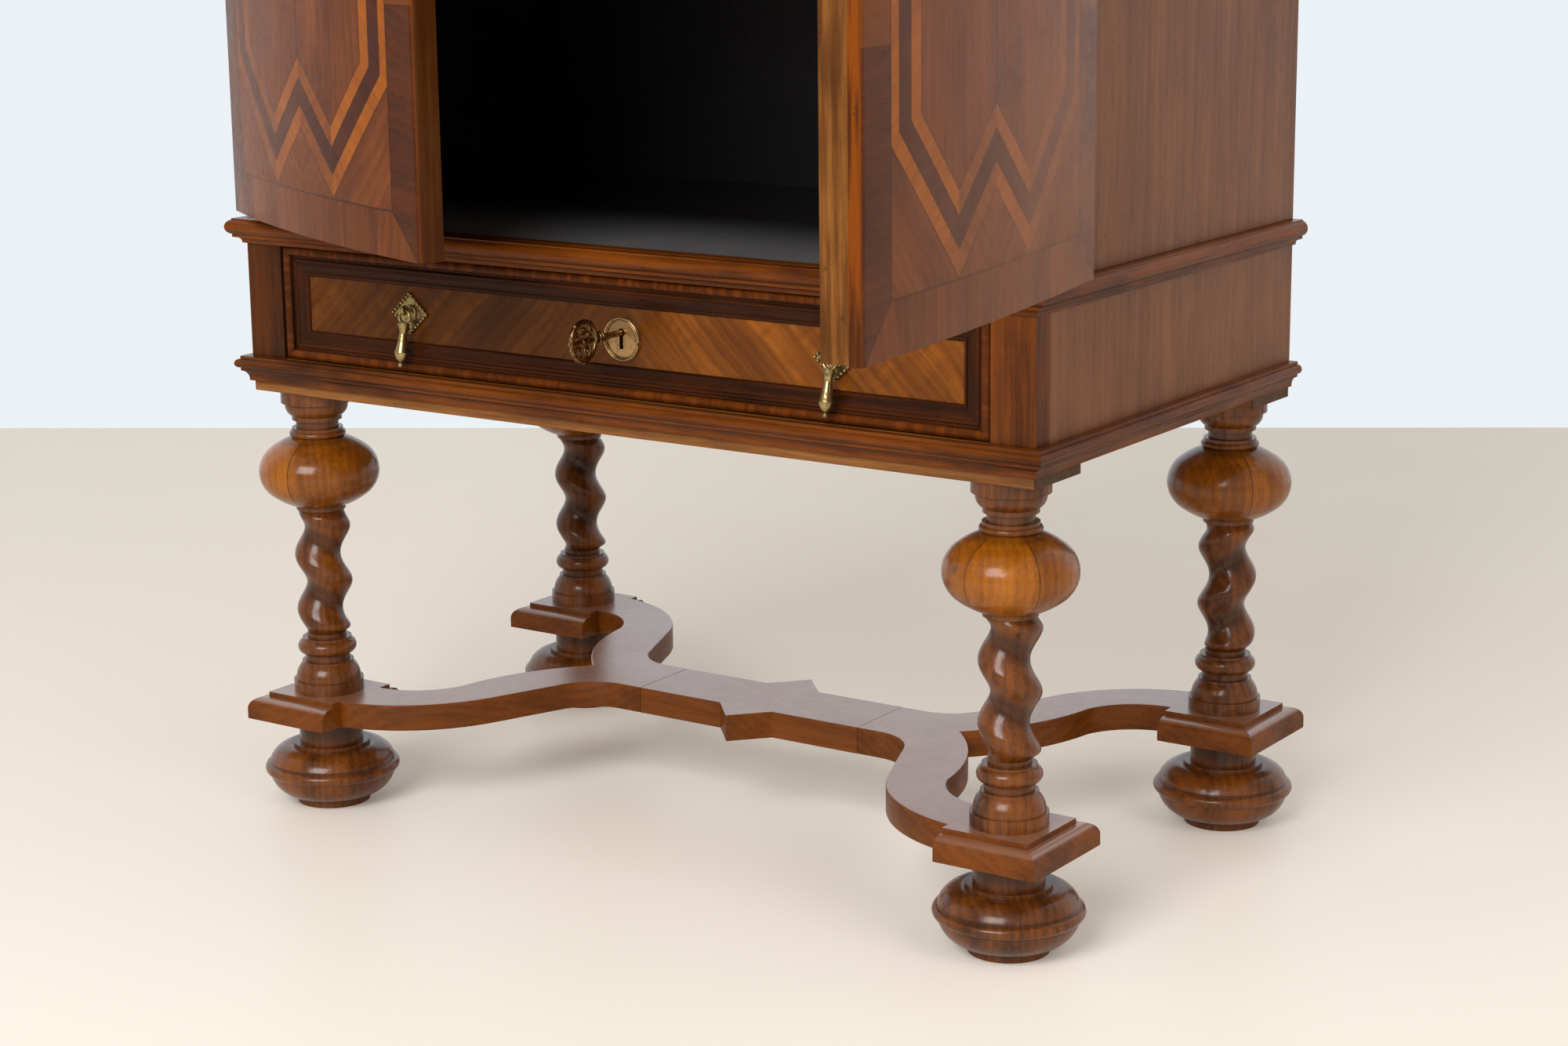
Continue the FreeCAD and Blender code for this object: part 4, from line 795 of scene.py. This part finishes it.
def finished_piece(name, shape, body, material):
    """Turns a built shape into a piece that rides on a body."""
    piece = add_mesh(name, shape, material)
    for face in piece.data.polygons:
        face.use_smooth = True
    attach(piece, body)


def add_bead(shape, centre, radius):
    """A small bead, added to a shape."""
    bmesh.ops.create_icosphere(shape, subdivisions=2, radius=radius, matrix=Matrix.Translation(centre))


def circle(middle, radius, count):
    """Points round a circle that faces the front."""
    turns = [math.tau * step / count for step in range(count)]
    return [middle + Vector((math.cos(turn), 0.0, math.sin(turn))) * radius for turn in turns]


def bow_heading(turn):
    """A direction in the upright plane of the key's bow."""
    return Vector((0.0, math.cos(turn), math.sin(turn)))


def ring_of_wire(shape, points, radius, closed=True):
    """A round wire through points, added to a shape."""
    turns = [math.tau * step / WIRE_SIDES for step in range(WIRE_SIDES)]
    count = len(points)
    rings = []
    for index, point in enumerate(points):
        before = points[index - 1] if closed or index > 0 else point
        after = points[(index + 1) % count] if closed or index < count - 1 else point
        heading = (after - before).normalized()
        first = heading.cross(Vector((0.0, 0.0, 1.0)))
        if first.length < 0.1:
            first = heading.cross(Vector((1.0, 0.0, 0.0)))
        first.normalize()
        second = heading.cross(first)
        rings.append([
            shape.verts.new(point + (first * math.cos(turn) + second * math.sin(turn)) * radius)
            for turn in turns
        ])
    pairs = list(zip(rings, rings[1:]))
    if closed:
        pairs.append((rings[-1], rings[0]))
    for near, far in pairs:
        for step in range(WIRE_SIDES):
            after = (step + 1) % WIRE_SIDES
            shape.faces.new((near[step], near[after], far[after], far[step]))
    if not closed:
        shape.faces.new(rings[0][::-1])
        shape.faces.new(rings[-1])


def make_plate_beads(word, side, metal, brass):
    """Beads along the four edges of a lozenge plate, and a boss round its eye."""
    low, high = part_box("handle_plates")
    middle = Vector((side * HANDLE_ACROSS, low.y, (low.z + high.z) / 2.0))
    wide = high.x - HANDLE_ACROSS - metal.bead_radius * 0.7
    tall = (high.z - low.z) / 2.0 - metal.bead_radius * 0.7
    corners = [Vector((x, 0.0, z)) for x, z in ((wide, 0.0), (0.0, tall), (-wide, 0.0), (0.0, -tall))]
    beads = 6
    shape = bmesh.new()
    for corner, after in zip(corners, corners[1:] + corners[:1]):
        for step in range(beads):
            add_bead(shape, middle + corner.lerp(after, step / beads), metal.bead_radius)
    ring_of_wire(shape, circle(middle, BOSS_RADIUS, 28), metal.bead_radius * 0.6)
    finished_piece("handle_beads_" + word, shape, "drawer", brass)


def make_escutcheon_rim(metal, bronze):
    """Raised rim and two pin heads of the escutcheon."""
    low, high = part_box("escutcheon")
    middle = Vector(((low.x + high.x) / 2.0, low.y, (low.z + high.z) / 2.0))
    reach = (high.x - low.x) / 2.0 - metal.rim_wire
    shape = bmesh.new()
    for share, thick in ((1.0, 0.9), (0.9, 0.35)):
        ring_of_wire(shape, circle(middle, reach * share, 64), metal.rim_wire * thick)
    for side in (-1.0, 1.0):
        add_bead(shape, middle + Vector((side * reach * 0.76, 0.0, 0.0)), metal.rim_wire)
    finished_piece("escutcheon_rim", shape, "drawer", bronze)


def scroll(middle, start, wind, reach):
    """Points of a C-scroll in the upright plane of the key's bow."""
    sweep, wide, tight = 5.2, reach * 0.34, reach * 0.08
    points = []
    for step in range(SCROLL_STEPS + 1):
        share = step / SCROLL_STEPS
        turn = start + wind * sweep * share
        radius = wide + (tight - wide) * share
        points.append(middle + bow_heading(turn) * radius)
    return points


def make_key_scrolls(metal, bronze):
    """Leafy scrolls and knobs in the bow of the key, and rings on its shaft."""
    low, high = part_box("drawer_key")
    reach = (high.z - low.z) / 2.0
    middle = Vector(((low.x + high.x) / 2.0, low.y + reach, (low.z + high.z) / 2.0))
    wire = metal.scroll_wire
    knobs, leaves = 10, 5
    shape = bmesh.new()
    for index in range(knobs):
        outward = bow_heading(math.tau * (index + 0.5) / knobs)
        add_bead(shape, middle + outward * (reach - KNOB_INSET), wire * (1.7 if index % 2 else 1.25))
    for index in range(leaves):
        turn = math.tau * (index + 0.25) / leaves
        eye = middle + bow_heading(turn) * reach * 0.55
        for wind in (-1.0, 1.0):
            ring_of_wire(shape, scroll(eye, turn, wind, reach), wire, closed=False)
        add_bead(shape, eye, wire * 1.5)
    add_bead(shape, middle, wire * 2.4)
    for place, radius in SHAFT_RINGS:
        collar = Vector((middle.x, middle.y + reach + SHAFT_START + place, middle.z))
        ring_of_wire(shape, circle(collar, radius, 24), SHAFT_RING_WIRE)
    finished_piece("key_scrolls", shape, "key", bronze)


# stage

def view_headings(look):
    """Level directions to the right of the view and away from it."""
    cosine, sine = math.cos(look.azimuth), math.sin(look.azimuth)
    return Vector((cosine, sine, 0.0)), Vector((-sine, cosine, 0.0))


def make_floor(look):
    """A plain pale floor that ends behind the cabinet, level to the view."""
    sideways, away = view_headings(look)
    near, far, half, skew = -7.0, 1.62, 7.0, 0.385
    shape = bmesh.new()
    outline = ((-half, near), (half, near), (half, far - skew), (-half, far + skew))
    shape.faces.new([shape.verts.new(sideways * x + away * y) for x, y in outline])
    paint = Paint("pale_floor", specular=0.2)
    paint.set("Base Color", look.floor)
    wear = paint.noise(paint.where, 6.0, 3.0)
    paint.set("Roughness", paint.spread(wear, 0.4, 0.52))
    path = paint.node("ShaderNodeLightPath")
    paint.set("Emission Color", look.floor)
    paint.set("Emission Strength", Wire(paint, path.outputs["Is Camera Ray"]) * look.floor_glow)
    floor = add_mesh("floor", shape, paint.material)


def make_world(scene, look):
    """A pale background to the eye and in reflections, and softer light from all sides."""
    world = bpy.data.worlds.new("pale_room")
    world.use_nodes = True
    sheet = Sheet(world.node_tree)
    sheet.tree.nodes.clear()
    seen = sheet.made("ShaderNodeBackground", 0, {"Color": look.background})
    light = sheet.made("ShaderNodeBackground", 0, {"Color": look.room, "Strength": look.ambient})
    path = sheet.node("ShaderNodeLightPath")
    camera, glossy, through = (
        Wire(sheet, path.outputs[f"Is {kind} Ray"]) for kind in ("Camera", "Glossy", "Transmission")
    )
    heading = Wire(sheet, sheet.node("ShaderNodeTexCoord").outputs["Generated"])
    wall = sheet.smooth(sheet.dot(heading, view_headings(look)[1]), -0.1, 0.4)
    pale = sheet.larger(camera, glossy * wall, through)
    mixed = sheet.made("ShaderNodeMixShader", 0, {0: pale, 1: light, 2: seen})
    sheet.feed(sheet.node("ShaderNodeOutputWorld").inputs["Surface"], mixed)
    scene.world = world


def make_lights(look):
    """A large soft light from the front and a weak one from the right that polish doesn't mirror."""
    for name, place, size, power, mirrored in (
        ("window", (0.5, -3.4, 2.4), (2.05, 1.8), look.key_power, True),
        ("fill", (3.3, -1.1, 2.0), (2.0, 2.0), look.fill_power, False),
    ):
        lamp = bpy.data.lights.new(name, "AREA")
        lamp.shape = "RECTANGLE"
        lamp.size, lamp.size_y = size
        lamp.energy = power
        light = add_object(name, lamp)
        light.visible_glossy = mirrored
        heading = LAMP_AIM - Vector(place)
        turned = heading.to_track_quat("-Z", "Y").to_matrix().to_4x4()
        light.matrix_world = Matrix.Translation(place) @ turned


def make_camera(scene, look):
    """The camera at the angle and framing of the view."""
    ahead = Vector((-math.sin(look.azimuth) * math.cos(look.elevation),
                    math.cos(look.azimuth) * math.cos(look.elevation), -math.sin(look.elevation)))
    level = view_headings(look)[0]
    above = level.cross(ahead)
    right = level * math.cos(look.roll) + above * math.sin(look.roll)
    up = above * math.cos(look.roll) - level * math.sin(look.roll)
    lens = bpy.data.cameras.new("camera")
    lens.sensor_width = 36.0
    lens.lens = look.lens
    lens.dof.use_dof = False
    camera = add_object("camera", lens)
    turned = Matrix((right, up, -ahead)).transposed().to_4x4()
    camera.matrix_world = Matrix.Translation(Vector(look.place)) @ turned
    scene.camera = camera


# steps

class CABINET_OT_effects(bpy.types.Operator):
    """Make the shared effects of wood and metal"""

    bl_idname = "cabinet.effects"
    bl_label = "Shared effects"

    def execute(self, context):
        make_wood_grain()
        make_hand_polish()
        make_age_marks()
        make_strapwork()
        make_tarnish()
        return {"FINISHED"}


class CABINET_OT_turned(bpy.types.Operator):
    """Finish the turned legs and bun feet"""

    bl_idname = "cabinet.turned"
    bl_label = "Legs and feet"

    def execute(self, context):
        wood = context.scene.cabinet_wood
        dress([f"{kind}_{corner}" for kind in ("leg", "foot") for corner in CORNERS], turned_paint(wood))
        return {"FINISHED"}


class CABINET_OT_stretcher(bpy.types.Operator):
    """Finish the stretcher, the plinths and the leg rails"""

    bl_idname = "cabinet.stretcher"
    bl_label = "Stretcher"

    def execute(self, context):
        wood = context.scene.cabinet_wood
        boards = ["stretcher_centre", "stretcher_left", "stretcher_right"]
        plinths = [f"plinth_{corner}" for corner in CORNERS]
        rails = ["leg_rail_front", "leg_rail_rear"]
        dress(boards + plinths, stretcher_paint(wood))
        dress(rails, rail_paint(wood))
        soften(boards + rails, WORN_MUCH)
        return {"FINISHED"}


class CABINET_OT_case(bpy.types.Operator):
    """Finish the case, its mouldings and the cornice"""

    bl_idname = "cabinet.case"
    bl_label = "Case and mouldings"

    def execute(self, context):
        wood = context.scene.cabinet_wood
        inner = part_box("cupboard_side_right")[0].x
        sides = [f"{part}_side_{word}" for part in ("case", "cupboard") for word in ("left", "right")]
        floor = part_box("cupboard_floor")[1].z
        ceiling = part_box("cupboard_top")[0].z
        dress(sides, case_paint(wood, inner, floor, ceiling))
        along_x = moulding_paint(wood, "moulding_along_front", "X")
        along_y = moulding_paint(wood, "moulding_along_side", "Y")
        # the left stile gets the painted shadow of the left door
        upright = moulding_paint(wood, "moulding_upright", "Z", left_shadow_amount=0.52)
        for band in ("lower_moulding", "waist_moulding", "cornice"):
            dress([band + "_front"], along_x)
            dress([band + "_left", band + "_right"], along_y)
        dress(["cupboard_frieze"], along_x)
        stiles = ["case_stile_left", "case_stile_right"]
        dress(stiles, upright)
        boards = ["case_bottom", "case_back"]
        dress(boards + ["drawer_guide_left", "drawer_guide_right"], raw_paint(wood, "raw_oak", "X", marks=0.8))
        soften(sides + boards + stiles + ["cupboard_frieze"], WORN_LITTLE)
        return {"FINISHED"}


class CABINET_OT_drawer(bpy.types.Operator):
    """Finish the drawer with its frame and linings"""

    bl_idname = "cabinet.drawer"
    bl_label = "Drawer"

    def execute(self, context):
        wood = context.scene.cabinet_wood
        dress(["drawer_front"], drawer_panel_paint(wood))
        dress(["drawer_frame"], drawer_frame_paint(wood))
        linings = ["drawer_side_left", "drawer_side_right"]
        dress(linings, raw_paint(wood, "drawer_lining_along", "Y", marks=0.7))
        dress(["drawer_back", "drawer_bottom"], raw_paint(wood, "drawer_lining_across", "X", marks=0.7))
        soften(linings + ["drawer_back"], WORN_LITTLE)
        return {"FINISHED"}


class CABINET_OT_handles(bpy.types.Operator):
    """Finish the handles and set beads round their plates"""

    bl_idname = "cabinet.handles"
    bl_label = "Handles"

    def execute(self, context):
        metal = context.scene.cabinet_metal
        brass = metal_paint("aged_brass", metal.brass, metal.tarnish)
        dress(["handle_plates", "handle_eyes", "handle_drop_left", "handle_drop_right", "cupboard_hinges",
               "left_door_hinges", "right_door_hinges"], brass)
        for word, side in (("left", -1.0), ("right", 1.0)):
            make_plate_beads(word, side, metal, brass)
        return {"FINISHED"}


class CABINET_OT_lock(bpy.types.Operator):
    """Finish the lock and key, with the rim of the escutcheon and the scrolls of the key"""

    bl_idname = "cabinet.lock"
    bl_label = "Lock and key"

    def execute(self, context):
        metal = context.scene.cabinet_metal
        bronze = metal_paint("escutcheon_bronze", metal.bronze, metal.bronze_dark)
        key_bronze = metal_paint("key_bronze", metal.key_bronze, metal.tarnish)
        iron = metal_paint("lock_iron", metal.iron, metal.tarnish)
        dress(["escutcheon"], bronze)
        dress(["drawer_key"], key_bronze)
        dress(["lock_case", "lock_bolt"], iron)
        make_escutcheon_rim(metal, bronze)
        make_key_scrolls(metal, key_bronze)
        return {"FINISHED"}


class CABINET_OT_cupboard(bpy.types.Operator):
    """Finish the floor, shelf, back and top of the cupboard"""

    bl_idname = "cabinet.cupboard"
    bl_label = "Cupboard"

    def execute(self, context):
        wood = context.scene.cabinet_wood
        dress(["cupboard_floor", "cupboard_shelf"], lining_paint(wood))
        back_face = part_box("cupboard_back")[0].y
        under_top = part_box("cupboard_top")[0].z
        top_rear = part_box("cupboard_top")[1].y
        back = board_inside_paint(wood, "cupboard_back_oak", "Z", back_face + 0.0005, under_top)
        top = board_inside_paint(wood, "cupboard_top_oak", "X", top_rear + 0.001, under_top + 0.0005)
        dress(["cupboard_back"], back)
        dress(["cupboard_top"], top)
        soften(["cupboard_shelf", "cupboard_top"], WORN_SOME)
        return {"FINISHED"}


class CABINET_OT_doors(bpy.types.Operator):
    """Finish the two doors"""

    bl_idname = "cabinet.doors"
    bl_label = "Doors"

    def execute(self, context):
        wood = context.scene.cabinet_wood
        for node, settings in DOORS.items():
            dress([node], door_paint(wood, node, **settings))
        soften(DOORS, WORN_MUCH)
        return {"FINISHED"}


class CABINET_OT_stage(bpy.types.Operator):
    """Set the floor, background, lights and camera"""

    bl_idname = "cabinet.stage"
    bl_label = "Stage"

    def execute(self, context):
        look = context.scene.cabinet_stage
        make_floor(look)
        make_world(context.scene, look)
        make_lights(look)
        make_camera(context.scene, look)
        context.scene.view_settings.view_transform = "Standard"
        return {"FINISHED"}


class CABINET_PT_panel(bpy.types.Panel):
    """Steps that finish the cabinet"""

    bl_idname = "CABINET_PT_panel"
    bl_label = "Cabinet on stand"
    bl_space_type = "VIEW_3D"
    bl_region_type = "UI"
    bl_category = "Cabinet"

    def draw(self, context):
        for step in STEPS:
            self.layout.operator(step.bl_idname)


STEPS = (
    CABINET_OT_effects,
    CABINET_OT_turned,
    CABINET_OT_stretcher,
    CABINET_OT_case,
    CABINET_OT_drawer,
    CABINET_OT_handles,
    CABINET_OT_lock,
    CABINET_OT_cupboard,
    CABINET_OT_doors,
    CABINET_OT_stage,
)
SETTINGS = {"cabinet_wood": CabinetWood, "cabinet_metal": CabinetMetal, "cabinet_stage": CabinetStage}


def register():
    for kind in (*SETTINGS.values(), *STEPS, CABINET_PT_panel):
        bpy.utils.register_class(kind)
    for name, kind in SETTINGS.items():
        setattr(bpy.types.Scene, name, bpy.props.PointerProperty(type=kind))


def unregister():
    for name in SETTINGS:
        delattr(bpy.types.Scene, name)
    for kind in (CABINET_PT_panel, *reversed(STEPS), *reversed(SETTINGS.values())):
        bpy.utils.unregister_class(kind)


def main():
    register()
    for step in STEPS:
        group, name = step.bl_idname.split(".")
        getattr(getattr(bpy.ops, group), name)()


if __name__ == "__main__":
    main()
